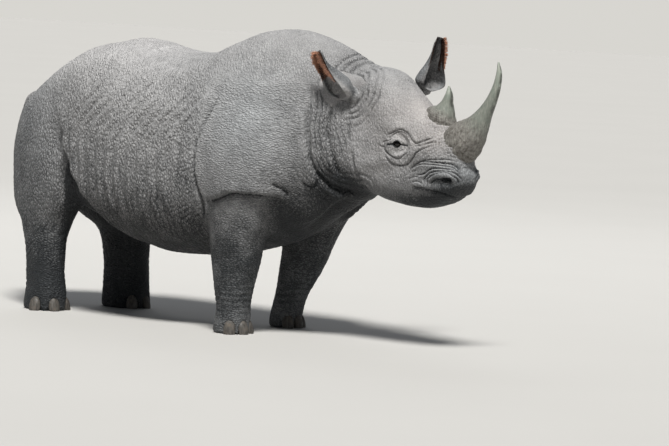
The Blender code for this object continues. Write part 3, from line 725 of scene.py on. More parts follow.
def sculpt_horn_seats(skin):
    """The skin swells up round each horn and flares onto it."""
    for name, (spine, seat) in HORNS.items():
        (x0, z0, half0), (x1, z1, half1) = spine[:2]
        along = np.array([x1 - x0, 0, z1 - z0])
        length = np.linalg.norm(along)
        along /= length
        front = np.array([along[2], 0, -along[0]])
        offset = skin.head - [x0, 0, z0]
        share = np.clip(offset @ along / length, 0, 2.0)
        half = half0 + (half1 - half0) * np.minimum(share, 1)
        fore = offset @ front / half
        around = np.hypot(fore, offset[:, 1] / (half * seat))
        near = hill(np.maximum(around - 1.0, 0), 0.22) * smoothstep(around, 0.5, 0.9)
        near *= skin.head[:, 2] > 0.9
        rear = 1 + HORN_FLARE[name] * smoothstep(-fore, 0.3, 1.0)
        skin.push(0.006 * near * rear)
    skin.update()


# The slit of a nostril in the head's frame: its middle, and half of its length.
NOSTRIL_X = 0.560
NOSTRIL_Z = 0.836
NOSTRIL_HALF = 0.055


def sculpt_nostril(skin, side):
    """A long slit under a swollen rim, deepest in front, over a shallow floor."""
    s, t, h = skin.head.T
    near = (np.sign(t) == side) & (s > 0.46) & (h > 0.77) & (h < 0.90)
    along = (s - NOSTRIL_X) / NOSTRIL_HALF
    level = h - NOSTRIL_Z + 0.020 * smoothstep(-along, 0.4, 1.05)
    ends = window(along, -0.92, 0.95, 0.15)
    deep = smoothstep(along, -0.15, 0.5)
    slit = hill(level, 0.0050 + 0.0045 * deep) * ends * near
    rim = hill(level - 0.017, 0.012) * window(along, -1.05, 1.15, 0.25) * near
    floor = hill(level + 0.018, 0.014) * window(along, -0.95, 1.0, 0.2) * near
    skin.push(0.0085 * rim - 0.0050 * floor - (0.010 + 0.016 * deep) * slit)
    # Painted shade in the slit, strongest in front, and weaker painted shade on the floor below it.
    skin.darken(slit * (0.55 + 0.75 * deep))
    skin.darken(0.28 * floor)


# The opening between the lids, half of its length and its height above and below the eye's middle.
LID_HALF = 0.0205
LID_UP = 0.0140
LID_DOWN = 0.0135
# How far the lids' slit runs on behind the opening and before it.
SLIT_REACH = {-1: 0.058, 1: 0.064}


def sculpt_eye(skin, side):
    """Lids that hug the eyeball and close in a slit at both corners, with an opening for it."""
    axis, fore, up = eye_axes(side)
    offset = skin.head - np.array(lateral(EYE_PLACE, side))
    u, v, w = offset @ np.array(fore), offset @ np.array(up), offset @ np.array(axis)
    index = np.nonzero((np.hypot(u, v) < 0.095) & (w > -0.01))[0]
    u, v, w = u[index], v[index], w[index]
    around = np.hypot(u / 0.066, (v - 0.002) / 0.054)
    lid = EYE_RADIUS + 0.0050 - 0.50 * EYE_RADIUS * around**2
    part = 1 - smoothstep(around, 0.7, 1.1)
    target = w + part * (lid - w)
    tall = np.where(v > 0, LID_UP, LID_DOWN)
    inside = (1 - (np.abs(u) / LID_HALF) ** 2.2) * tall - np.abs(v)
    opening = smoothstep(inside, -0.0006, 0.0024)
    rim = hill(inside + 0.0022, 0.0022)
    reach = np.where(u < 0, SLIT_REACH[-1], SLIT_REACH[1])
    slit_level = -0.002 - 0.10 * np.maximum(np.abs(u) - LID_HALF, 0)
    narrow = np.where(u < 0, 0.0060 - 0.05 * (-u - LID_HALF), 0.0040)
    corners = hill(v - slit_level, narrow) * window(np.abs(u), LID_HALF - 0.004, 0.8 * reach, 0.2 * reach)
    hood = hill(v - 0.021 + 10 * u * u, 0.007) * (np.abs(u) < 0.035)
    target += 0.0022 * hood + 0.0012 * rim - 0.0050 * corners - 0.0150 * opening
    move = np.zeros((len(index), 3)) + np.array(HEAD_TURN @ axis) * (target - w)[:, None]
    skin.points[index] += move
    # Painted shade in the opening, on its rim and in the corner slits.
    skin.darken(np.maximum.reduce([opening, rim, corners]), index)
    # A band of painted shade round the opening, fainter along the corner slits, taken off the hide's tone.
    rim = np.maximum(smoothstep(inside, -0.0060, -0.0015), 0.45 * corners)
    skin.eye_rim_shade[index] = np.maximum(skin.eye_rim_shade[index], rim)


def eye_axes(side):
    """The way an eye looks, the way to the muzzle across it, and the way up across both."""
    axis = lateral(EYE_AXIS, side)
    up = (Vector((0, 0, 1)) - axis * axis.z).normalized()
    fore = Vector((axis.y, -axis.x, 0)).normalized() * side
    return axis, fore, up


def ear_masks(skin, ears):
    """How far each vertex belongs to an ear and to the inside of one, and how far along it lies."""
    whole, inner, along = np.zeros((3, len(skin.points)))
    normals = skin.normals @ np.array(HEAD_TURN)
    for ear in ears.values():
        axis = np.array(ear.along)
        length = (ear.tip - ear.base).length
        offset = skin.head - np.array(ear.base)
        share = np.clip(offset @ axis / length, 0, 1.05)
        bowed = share[:, None] * length * axis + np.sin(np.pi * share)[:, None] * np.array(ear.bow)
        mask = smoothstep(share, -0.02, 0.12) * (np.linalg.norm(offset - bowed, axis=1) < 0.11)
        facing = normals @ np.array(ear.face)
        whole = np.maximum(whole, mask)
        inner = np.maximum(inner, mask * smoothstep(facing, -0.1, 0.4))
        along = np.maximum(along, mask * share)
    return whole, inner, along


# Materials


class Graph:
    """The shader nodes of a material or a world."""

    def __init__(self, owner):
        owner.use_nodes = True
        self.nodes, self.links = owner.node_tree.nodes, owner.node_tree.links

    def add(self, kind, links=(), **settings):
        node = self.nodes.new(kind)
        for name, value in settings.items():
            setattr(node, name, value)
        for name, value in dict(links).items():
            self.feed(node.inputs[name], value)
        return node

    def feed(self, socket, value):
        if isinstance(value, bpy.types.NodeSocket):
            self.links.new(value, socket)
        else:
            socket.default_value = (*value, 1) if socket.type == "RGBA" else value

    def mix(self, share, a, b, blend="MIX"):
        links = {0: share, 6: a, 7: b}
        return self.add("ShaderNodeMix", links, data_type="RGBA", blend_type=blend).outputs[2]


class Look(Graph):
    """A procedural material round one Principled shader. Sizes and distances are in metres."""

    def __init__(self, name, roughness, specular):
        self.material = bpy.data.materials.new(name)
        super().__init__(self.material)
        self.shader = self.nodes["Principled BSDF"]
        self.shader.inputs["Roughness"].default_value = roughness
        self.shader.inputs["Specular IOR Level"].default_value = specular
        self.place = self.add("ShaderNodeTexCoord").outputs["Object"]

    def math(self, operation, a, b):
        return self.add("ShaderNodeMath", {0: a, 1: b}, operation=operation).outputs[0]

    def plus(self, a, b):
        return self.math("ADD", a, b)

    def minus(self, a, b):
        return self.math("SUBTRACT", a, b)

    def times(self, a, b):
        return self.math("MULTIPLY", a, b)

    def ramp(self, value, low, high, to_low=0.0, to_high=1.0):
        links = {"Value": value, "From Min": low, "From Max": high, "To Min": to_low, "To Max": to_high}
        return self.add("ShaderNodeMapRange", links, interpolation_type="SMOOTHSTEP").outputs[0]

    def scaled(self, place, x, y, z):
        return self.add("ShaderNodeMapping", {"Vector": place, "Scale": (x, y, z)}).outputs[0]

    def warped(self, place, size, amount):
        """Places moved about by noise, so that a pattern on them wanders."""
        links = {"Vector": place, "Scale": 1 / size, "Detail": 2.0}
        shift = self.add("ShaderNodeTexNoise", links).outputs["Color"]
        kind = "ShaderNodeVectorMath"
        centred = self.add(kind, {0: shift, 1: (0.5, 0.5, 0.5)}, operation="SUBTRACT").outputs[0]
        scaled = self.add(kind, {0: centred, "Scale": amount}, operation="SCALE").outputs[0]
        return self.add(kind, {0: place, 1: scaled}, operation="ADD").outputs[0]

    def noise(self, size, detail, place=None, rough=0.55):
        links = {"Vector": place or self.place, "Scale": 1 / size, "Detail": detail, "Roughness": rough}
        return self.add("ShaderNodeTexNoise", links).outputs[0]

    def cracks(self, size, place, width):
        """0 in the cracks between cells, and 1 on them."""
        links = {"Vector": place, "Scale": 1 / size}
        edge = self.add("ShaderNodeTexVoronoi", links, feature="DISTANCE_TO_EDGE").outputs["Distance"]
        return self.ramp(edge, 0.0, width)

    def domes(self, size, place):
        """1 in the middle of each cell, falling off round it."""
        links = {"Vector": place, "Scale": 1 / size}
        distance = self.add("ShaderNodeTexVoronoi", links, feature="F1").outputs["Distance"]
        return self.ramp(distance, 0.80, 0.0)

    def blend(self, share, a, b):
        return self.add("ShaderNodeMix", {0: share, 2: a, 3: b}).outputs[0]

    def attribute(self, name):
        return self.add("ShaderNodeAttribute", attribute_name=name).outputs["Fac"]

    def bump(self, height, distance):
        links = {"Height": height, "Distance": distance, "Strength": 1.0}
        return self.add("ShaderNodeBump", links).outputs[0]

    def finish(self, colour, normal=None, roughness=None):
        for name, value in (("Base Color", colour), ("Normal", normal), ("Roughness", roughness)):
            if value:
                self.feed(self.shader.inputs[name], value)
        return self.material


def hide_look():
    """Grey pebbled hide, lighter from above with pale dust and painted light, darker in its folds with
    painted shade, and darker down its legs with mud and painted shade.
    """
    look = Look("hide", 0.72, 0.28)
    place = look.warped(look.place, 0.06, 0.022)
    upright = look.scaled(place, 1.6, 1.2, 0.8)
    level = look.scaled(place, 0.8, 1.0, 1.7)
    lie = look.attribute("lie")
    rough = look.attribute("rough")
    large = look.blend(lie, look.domes(0.0165, upright), look.domes(0.0145, level))
    gaps = look.blend(lie, look.cracks(0.0165, upright, 0.30), look.cracks(0.0145, level, 0.30))
    small = look.domes(0.0075, place)
    lumps = look.noise(0.030, 3.0, rough=0.6)
    grain = look.noise(0.004, 4.0)
    tone = look.attribute("tone")
    warm = look.attribute("warm")
    groove = look.attribute("groove")
    dark = (0.020, 0.022, 0.024)
    light = (0.50, 0.495, 0.495)
    blotch = look.noise(0.10, 5.0, rough=0.65)
    lightness = look.plus(tone, look.ramp(blotch, 0.30, 0.70, -0.05, 0.09))
    # Painted shade in the cracks between the pebbles and round the edges of the small pebbles, with painted
    # light on their tops.
    between = look.minus(1.0, gaps)
    lightness = look.minus(lightness, look.times(between, look.times(rough, 0.24)))
    lightness = look.minus(lightness, look.ramp(small, 0.1, 0.6, 0.06, -0.02))
    # Painted shade in the grooves of folds, wrinkles, lids and nostrils.
    lightness = look.minus(lightness, look.times(groove, 0.36))
    colour = look.mix(lightness, dark, light)
    colour = look.mix(look.times(warm, 0.8), colour, (1.0, 0.90, 0.84), "MULTIPLY")
    cool = look.attribute("cool")
    colour = look.mix(cool, colour, (0.86, 0.95, 1.0), "MULTIPLY")
    speckle = look.times(look.ramp(look.noise(0.010, 3.0), 0.54, 0.64), look.attribute("speckle"))
    colour = look.mix(look.times(speckle, 0.75), colour, (0.10, 0.075, 0.06))
    heights = look.times(large, 4.6)
    for part, height in ((lumps, 7.0), (gaps, 1.2)):
        heights = look.plus(heights, look.times(part, height))
    heights = look.times(heights, rough)
    for part, height in ((small, 1.1), (grain, 0.8)):
        heights = look.plus(heights, look.times(part, height))
    normal = look.bump(heights, 0.00130)
    return look.finish(colour, normal, look.ramp(lightness, 0.0, 0.9, 0.60, 0.80))


def horn_look():
    """Coarse and brown-grey like the hide at the base, greener and smooth above, pale at the tip."""
    look = Look("horn", 0.5, 0.35)
    height = look.attribute("height")
    fibres = look.noise(0.006, 5.0, look.scaled(look.place, 1, 1, 0.12), 0.65)
    spots = look.noise(0.009, 4.0, look.scaled(look.place, 1, 1, 0.5))
    pits = look.cracks(0.014, look.warped(look.place, 0.03, 0.012), 0.35)
    colour = look.mix(look.ramp(height, 0.22, 0.50), (0.160, 0.152, 0.140), (0.165, 0.185, 0.158))
    colour = look.mix(look.ramp(height, 0.60, 0.95), colour, (0.27, 0.305, 0.26))
    colour = look.mix(look.ramp(fibres, 0.35, 0.70, 0.0, 0.5), colour, (0.36, 0.35, 0.31))
    broken_up = look.plus(height, look.ramp(look.noise(0.035, 3.0), 0.3, 0.7, -0.12, 0.12))
    base = look.minus(1.0, look.ramp(broken_up, 0.15, 0.58))
    dark_spots = look.times(base, look.ramp(spots, 0.50, 0.62))
    colour = look.mix(look.times(dark_spots, 0.6), colour, (0.06, 0.048, 0.04))
    # Painted shade in the pits of the base.
    pit_shade = look.times(base, look.minus(1.0, pits))
    colour = look.mix(look.times(pit_shade, 0.14), colour, (0.06, 0.05, 0.042))
    # A dark stripe up the front: partly the horn's own colour, partly painted shade.
    streak = look.times(look.attribute("streak"), look.ramp(look.noise(0.03, 3.0), 0.35, 0.6))
    colour = look.mix(look.times(streak, 0.85), colour, (0.035, 0.035, 0.03))
    # Painted shade in the furrows and hollows of the base.
    colour = look.mix(look.times(look.attribute("groove"), 0.6), colour, (0.05, 0.042, 0.035))
    relief = look.plus(look.times(fibres, 1.6), look.times(spots, base))
    relief = look.plus(relief, look.times(look.times(pits, base), 0.5))
    rough = look.ramp(height, 0.15, 0.6, 0.80, 0.38)
    return look.finish(colour, look.bump(relief, 0.0012), rough)


def nail_look():
    """Dark and ridged down its length, with dried mud."""
    look = Look("nail", 0.6, 0.3)
    lines = look.noise(0.008, 4.0, look.scaled(look.place, 1, 1, 0.2))
    dirt = look.noise(0.02, 4.0)
    colour = look.mix(look.ramp(lines, 0.3, 0.7), (0.040, 0.036, 0.032), (0.10, 0.092, 0.082))
    colour = look.mix(look.ramp(dirt, 0.5, 0.75, 0.0, 0.6), colour, (0.13, 0.105, 0.082))
    return look.finish(colour, look.bump(lines, 0.0012), look.ramp(dirt, 0.3, 0.7, 0.4, 0.75))


def eye_look():
    """A black pupil in a dark iris, by the angle from the eye's axis, under a wet coat."""
    look = Look("eye", 0.08, 0.35)
    angle = look.attribute("angle")
    threads = look.noise(0.0012, 3.0)
    iris = look.mix(threads, (0.004, 0.003, 0.002), (0.012, 0.007, 0.004))
    colour = look.mix(look.ramp(angle, 0.26, 0.31), (0.001, 0.001, 0.001), iris)
    colour = look.mix(look.ramp(angle, 0.64, 0.72), colour, (0.02, 0.013, 0.010))
    look.shader.inputs["Coat Weight"].default_value = 0.35
    look.shader.inputs["Coat Roughness"].default_value = 0.03
    return look.finish(colour)


def bristle_look(name, root, tip):
    """Hairs with one colour at the root and another from 0.4 of their length on."""
    look = Look(name, 0.6, 0.25)
    strands = look.noise(0.01, 3.0)
    colour = look.mix(look.ramp(look.attribute("along"), 0.0, 0.40), root, tip)
    colour = look.mix(look.ramp(strands, 0.4, 0.7, 0.0, 0.3), colour, (0.05, 0.03, 0.02))
    return look.finish(colour)


def plain_look(name, colour, roughness):
    look = Look(name, roughness, 0.2)
    cloudy = look.noise(1.5, 2.0)
    return look.finish(look.mix(look.ramp(cloudy, 0.3, 0.7), colour, [0.985 * c for c in colour]))


# Horns, eyes and nails

# Each horn's spine, as x, z and half its length fore and aft, in the head's frame, and its breadth
# at the foot over that length.
HORNS = {
    "horn_front": (
        [(0.545, 0.965, 0.098), (0.606, 1.020, 0.100), (0.652, 1.062, 0.080), (0.692, 1.108, 0.057),
         (0.728, 1.160, 0.038), (0.766, 1.222, 0.027), (0.793, 1.287, 0.020), (0.804, 1.349, 0.014),
         (0.797, 1.404, 0.004)],
        0.84,
    ),
    "horn_rear": (
        [(0.448, 1.075, 0.076), (0.463, 1.125, 0.074), (0.478, 1.160, 0.050), (0.490, 1.200, 0.029),
         (0.497, 1.235, 0.019), (0.494, 1.276, 0.004)],
        0.80,
    ),
}
# How much more the skin swells behind a horn than round the rest of it, and how far the horn's own
# foot spreads backwards.
HORN_FLARE = {"horn_front": 0.0, "horn_rear": 2.2}
HORN_SKIRT = {"horn_front": 0.0, "horn_rear": 0.35}
HORN_AROUND = 96
HORN_STEPS = 14


def make_horn(name, look):
    """A horn with fine fibres, knobbed and ringed near its foot, with a dark stripe up its front that is
    partly its own colour and partly painted shade.
    """
    spine, seat = HORNS[name]
    rows = smooth_rows(spine, HORN_STEPS)
    rings, heights, streaks, grooves = [], [], [], []
    for i, (x, z, half) in enumerate(rows):
        before, after = rows[max(i - 1, 0)], rows[min(i + 1, len(rows) - 1)]
        along = Vector((after[0] - before[0], 0, after[1] - before[1])).normalized()
        front = Vector((along.z, 0, -along.x))
        share = i / (len(rows) - 1)
        width = half * (1 + (seat - 1) * (1 - share) ** 2)
        coarse = (1 - smoothstep(share, 0.16, 0.55)) * smoothstep(share, 0.0, 0.1)
        ring = []
        for j in range(HORN_AROUND):
            angle = 2 * math.pi * j / HORN_AROUND
            skirt = 1 + HORN_SKIRT[name] * max(0, -math.cos(angle)) * (1 - smoothstep(share, 0.10, 0.60))
            out = front * half * skirt * math.cos(angle) + Vector((0, width * math.sin(angle), 0))
            place = Vector((x, 0, z)) + out
            turn = Vector((math.cos(angle) * 4, math.sin(angle) * 4, share * 3))
            fibre = noise.noise(turn * 2.2) + 0.6 * noise.noise(turn * 5.5)
            knob = noise.noise(place * 45) + 0.6 * noise.noise(place * 100)
            girdle = furrow(share * 21 + 1.6 * noise.noise(place * 16))
            girdle *= smoothstep(noise.noise(place * 22), -0.3, 0.2)
            swell = 0.0024 * fibre * (0.25 + coarse) + 0.0030 * knob * coarse
            swell -= 0.0018 * girdle * (0.15 + coarse)
            ring.append(HEAD @ (place + out.normalized() * swell * min(1, half / 0.02)))
            heights.append(share)
            # A dark stripe up the front: partly the horn's own colour, partly painted shade.
            streak = smoothstep(share, 0.42, 0.6) * (1 - smoothstep(share, 0.93, 1.0))
            streaks.append(streak * max(0, math.cos(angle)) ** 6)
            # Painted shade in the furrows and knob hollows near the foot.
            grooves.append(0.5 * girdle * coarse + 0.7 * max(0, -knob) * coarse)
        rings.append(ring)
    mesh = ring_mesh(name + "_form", rings)
    paint(mesh, height=heights, streak=streaks, groove=grooves)
    piece(new_object(name + "_sheath", mesh), look, "horn", name)


def piece(obj, look, slot, *nodes):
    """The object as a piece that rides on the root, in the place of those nodes."""
    obj.data.materials.clear()
    obj.data.materials.append(look)
    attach(obj, "root")
    if nodes:
        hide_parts(*nodes)
    return obj


def make_eye(side_name, side, look):
    """An eyeball with the cornea raised on it."""
    form = bmesh.new()
    bmesh.ops.create_uvsphere(form, u_segments=48, v_segments=36, radius=EYE_RADIUS)
    axis, fore, up = eye_axes(side)
    turn = Matrix((fore, up, axis)).transposed()
    centre = lateral(EYE_PLACE, side)
    angles = []
    for vertex in form.verts:
        angle = math.acos(max(-1, min(1, vertex.co.z / EYE_RADIUS)))
        bulge = 0.0012 * float(1 - smoothstep(angle, 0.45, 0.80))
        vertex.co = vertex.co * (1 + bulge / EYE_RADIUS)
        vertex.co = HEAD @ (centre + turn @ vertex.co)
        angles.append(angle)
    mesh = meshed(form, bpy.data.meshes.new("eyeball_" + side_name))
    paint(mesh, angle=angles)
    piece(new_object(mesh.name, mesh), look, "eye", "eye_" + side_name)


NAIL_RADII = (0.020, 0.030, 0.050)
NAIL_HEIGHT = 0.022
NAIL_TILT = math.radians(-14)
TOE_OUT = {"fore": 6.0, "hind": 20.0}


def make_nail(node, look):
    """The same rounded plate as the solid nail, finer, with ridges down it and a worn edge."""
    low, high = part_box(node)
    side = -1 if "_right_" in node else 1
    toe_out = TOE_OUT["fore" if "forefoot" in node else "hind"] * side
    heading = math.radians(toe_out + {"1": -50, "2": 0, "3": 50}[node[-1]])
    form = bmesh.new()
    bmesh.ops.create_icosphere(form, subdivisions=5, radius=1)
    place = Vector(((low.x + high.x) / 2, (low.y + high.y) / 2, NAIL_HEIGHT))
    turns = Matrix.Rotation(heading, 3, "Z") @ Matrix.Rotation(NAIL_TILT, 3, "Y")
    for vertex in form.verts:
        out = vertex.co.copy()
        ridges = 0.0006 * noise.noise(Vector((0, out.y * 9, 0))) + 0.0005 * noise.noise(out * 4)
        round_off = 1 + 0.10 * out.z * out.z * (1 - abs(out.z))
        local = Vector([out[i] * NAIL_RADII[i] * (round_off if i < 2 else 1) for i in range(3)])
        vertex.co = place + turns @ (local + Vector((ridges, 0, 0)))
    whole = form.verts[:] + form.edges[:] + form.faces[:]
    bmesh.ops.bisect_plane(form, geom=whole, plane_co=(0, 0, 0), plane_no=(0, 0, -1), clear_outer=True)
    bmesh.ops.holes_fill(form, edges=form.edges[:])
    mesh = meshed(form, bpy.data.meshes.new(node + "_plate"))
    piece(new_object(mesh.name, mesh), look, "nail", node)


# Bristles


class Tufts:
    """Tapered solid hairs in one mesh, each with its own small patch of the UV map."""

    STEPS = 3
    PATCH = 0.003

    def __init__(self):
        self.verts, self.faces, self.uvs, self.along = [], [], [], []

    def add(self, root, tip, bend, thick, place, pale=1.0):
        """place is the root's on an unwrap of the skin below, from 0 to 1 both ways."""
        start = len(self.verts)
        bend = Vector(bend)
        along = (tip - root).normalized()
        across = along.orthogonal().normalized()
        other = along.cross(across)
        for i in range(self.STEPS):
            t = i / self.STEPS
            centre = root.lerp(tip, t) + bend * (4 * t * (1 - t))
            size = thick * (1 - 0.75 * t)
            for k in range(3):
                angle = 2 * math.pi * k / 3
                self.verts.append(centre + (across * math.cos(angle) + other * math.sin(angle)) * size)
                self.along.append(pale * t)
        self.verts.append(tip)
        self.along.append(pale)
        for i in range(self.STEPS):
            for k in range(3):
                a, b = start + 3 * i + k, start + 3 * i + (k + 1) % 3
                low, high = i / self.STEPS, (i + 1) / self.STEPS
                left, right = k / 3, (k + 1) / 3
                if i < self.STEPS - 1:
                    self.faces.append((a, b, b + 3, a + 3))
                    corners = [(left, low), (right, low), (right, high), (left, high)]
                else:
                    self.faces.append((a, b, start + 3 * self.STEPS))
                    corners = [(left, low), (right, low), ((left + right) / 2, high)]
                self.uvs += [[p + self.PATCH * (c - 0.5) for p, c in zip(place, uv)] for uv in corners]
        self.faces.append((start + 2, start + 1, start))
        self.uvs += [(place[0], place[1] - self.PATCH / 2)] * 3

    def finish(self, name, look, *nodes):
        mesh = bpy.data.meshes.new(name)
        mesh.from_pydata(self.verts, [], self.faces)
        layer = mesh.uv_layers.new(name="OFBake")
        layer.data.foreach_set("uv", np.array(self.uvs, np.float32).ravel())
        paint(mesh, along=self.along)
        mesh.shade_smooth()
        piece(new_object(name, mesh), look, "bristle", *nodes)


def dither(i, k=0):
    """A number from 0 to 1 that is always the same for i and k."""
    return (math.sin(i * 12.9898 + k * 78.233) * 43758.5453) % 1.0


# The hair of each ear, in locks on its rims: sign of the turn, from and to what share, hairs, length,
# how far in from the rim the hairs grow, how much they hang over the opening, and how pale their ends are.
FRINGES = {
    "ear_right": [
        (1, 0.70, 1.0, 1300, 0.044, 0.06, -0.1, 1.0),
        (-1, 0.44, 0.98, 1900, 0.036, 0.35, 1.2, 0.42),
        (1, 0.55, 0.98, 1300, 0.032, 0.50, 1.0, 0.55),
    ],
    "ear_left": [
        (-1, 0.62, 1.0, 1300, 0.032, 0.06, 0.0, 1.0),
        (1, 0.62, 1.0, 700, 0.015, 0.10, 0.3, 0.06),
        (-1, 0.56, 0.98, 1100, 0.024, 0.45, 1.0, 0.08),
    ],
}
HAIRS_IN_A_LOCK = 9
FRINGE_THICK = 0.0007
# Where the three rows of one ear start on its unwrap, and how far they are apart.
CHART_MARGIN = 0.02
CHART_ROW = 0.32


def make_fringe(name, ear, chart, look):
    """The hair on one ear's rims. chart is where its half of the unwrap starts."""
    tufts = Tufts()
    for number, (rim, start, end, count, length, inward, over, pale) in enumerate(FRINGES[name]):
        for i in range(count):
            lock = i // HAIRS_IN_A_LOCK
            share = start + (end - start) * (i + dither(i, 1)) / count
            share = min(share, 0.995)
            turn = rim * (1 - inward * dither(i, 2))
            root = ear.point(share, turn, 0.002 if inward < 0.2 else ear.row_at(share)[3])
            out = (root - ear.centre(share)).normalized()
            swell = smoothstep(share, start, start + 0.2)
            reach = length * (0.6 + 0.25 * dither(lock, 3) + 0.15 * dither(i, 3)) * (0.4 + 0.6 * swell)
            lean = ear.along * (0.15 + 0.5 * dither(lock, 4))
            lean += ear.face * (0.4 * dither(lock, 5) + 0.3 * over)
            direction = out * (1 - over) + lean
            jitter = Vector([dither(lock, k) - 0.5 for k in (6, 7, 8)]) * 0.5
            jitter += Vector([dither(i, k) - 0.5 for k in (9, 10, 11)]) * 0.25
            tip = root + (direction.normalized() + jitter).normalized() * reach
            bend = (ear.along - Vector((0, 0, 0.8))) * reach * 0.10
            u = chart + CHART_MARGIN + 0.4 * (0.5 + 0.5 * turn)
            v = CHART_MARGIN + 0.30 * share + CHART_ROW * number
            shade = pale * (0.70 + 0.30 * dither(lock, 12))
            tufts.add(HEAD @ root, HEAD @ tip, HEAD_TURN @ bend, FRINGE_THICK, (u, v), shade)
    tufts.finish(name + "_fringe", look)


LASHES = 34
LASH_LENGTH = 0.013
LASH_THICK = 0.0005


def make_lashes(look):
    """A row of lashes on each upper lid, fanned out and a little down."""
    tufts = Tufts()
    for chart, (_, side) in enumerate(SIDES):
        axis, fore, up = eye_axes(side)
        centre = lateral(EYE_PLACE, side)
        for i in range(LASHES):
            u = LID_HALF * (-0.9 + 1.8 * (i + 0.5 * dither(i, 1)) / LASHES)
            v = (1 - (abs(u) / LID_HALF) ** 2.2) * LID_UP + 0.001
            root = centre + fore * u + up * v + axis * (EYE_RADIUS - 0.001)
            out = (axis * 0.9 + up * (0.15 - 0.35 * dither(i, 2)) + fore * (u * 22)).normalized()
            tip = root + out * (LASH_LENGTH * (0.6 + 0.4 * dither(i, 3)))
            place = (0.1 + 0.4 * chart + 0.3 * i / LASHES, 0.5 + 0.1 * dither(i, 4))
            tufts.add(HEAD @ root, HEAD @ tip, HEAD_TURN @ (up * -0.0015), LASH_THICK, place)
    tufts.finish("lashes", look)


# The tail's bristles: how many, how thick, how high above the solid brush they start and over what
# length they are spread.
TAIL_HAIRS = 900
TAIL_THICK = 0.0012
TAIL_START = 0.08
TAIL_RUN = 0.16


def make_tail_brush(look):
    """Coarse bristles down both edges of the tail's end."""
    low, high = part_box("tail_tuft")
    middle_x, middle_y = (low.x + high.x) / 2, (low.y + high.y) / 2
    tufts = Tufts()
    for i in range(TAIL_HAIRS):
        share = (i + dither(i, 1)) / TAIL_HAIRS
        side = 1 if i % 2 else -1
        z = high.z + TAIL_START - TAIL_RUN * share
        y = middle_y + side * 0.012 * (0.3 + 0.7 * dither(i, 2))
        x = middle_x + 0.010 * (dither(i, 3) - 0.5)
        root = Vector((x, y, z))
        spread = side * (0.004 + 0.022 * dither(i, 4))
        length = 0.08 + 0.08 * dither(i, 5)
        bottom = max(z - length, low.z + 0.002)
        tip = Vector((x + 0.016 * (dither(i, 6) - 0.5), y + spread, bottom))
        place = (0.1 + 0.35 * (side > 0) + 0.3 * dither(i, 2), 0.1 + 0.8 * share)
        tufts.add(root, tip, (0.004 * (dither(i, 7) - 0.5), side * 0.008, 0), TAIL_THICK, place)
    tufts.finish("tail_brush", look, "tail_tuft")


# Tones of the hide: frame, centre, reach on each axis, and what is added to tone, warm, cool and speckle.

PATCHES = [
    # Lighter on the top of the rump and the hump and up the flank and shoulder: pale dust and painted light.
    ("body", (-0.60, 0.0, 1.45), (0.75, 0.50, 0.24), 0.72, 0.25, 0.0, 0.0),
    ("body", (0.75, 0.0, 1.50), (0.45, 0.40, 0.20), 0.06, 0.10, 0.0, 0.0),
    ("body", (0.75, 0.35, 1.05), (0.26, 0.25, 0.30), 0.12, 0.0, 0.35, 0.0),
    ("body", (0.05, 0.40, 1.05), (0.55, 0.25, 0.32), 0.20, 0.0, 0.0, 0.0),
    # Darker and cooler on the back of the thigh: painted shade.
    ("body", (-0.75, 0.30, 0.85), (0.25, 0.20, 0.40), -0.06, 0.0, 0.25, 0.0),
    # Darker and warmer low on the body: mud and painted shade.
    ("body", (0.20, 0.30, 0.45), (0.70, 0.40, 0.16), -0.12, 0.5, 0.0, 0.0),
    # Painted shade on the brisket, and painted shadow on the throat under the jaw.
    ("body", (1.03, 0.0, 0.63), (0.26, 0.25, 0.21), -0.48, 0.4, 0.0, 0.0),
    ("body", (1.20, 0.0, 0.76), (0.11, 0.30, 0.11), -0.45, 0.3, 0.0, 0.0),
    # Darker lower legs: mud and painted shade.
    ("body", (-0.68, 0.24, 0.12), (0.30, 0.25, 0.17), -0.32, 0.0, 0.2, 0.0),
    ("body", (0.70, 0.30, 0.36), (0.22, 0.25, 0.22), -0.10, 0.0, 0.2, 0.0),
    ("head", (0.30, 0.0, 1.12), (0.26, 0.18, 0.13), 0.20, 0.7, 0.0, 0.2),
    ("head", (0.50, 0.0, 1.00), (0.13, 0.14, 0.08), 0.16, 0.6, 0.0, 0.8),
    ("head", (0.58, 0.0, 0.86), (0.14, 0.14, 0.07), 0.02, 0.0, 0.6, 0.0),
    ("head", (0.22, 0.14, 0.92), (0.18, 0.08, 0.13), 0.10, 0.2, 0.0, 0.0),
    # Painted shade under the jaw and below the upper lip.
    ("head", (0.46, 0.0, 0.720), (0.22, 0.16, 0.055), -0.52, 0.2, 0.2, 0.0),
    ("head", (0.60, 0.0, 0.790), (0.10, 0.16, 0.050), -0.50, 0.2, 0.2, 0.0),
]
# The tone inside each ear, by its side; the far, left ear's inside is darker with painted shade.
EAR_INSIDE = {-1: 0.04, 1: -0.32}


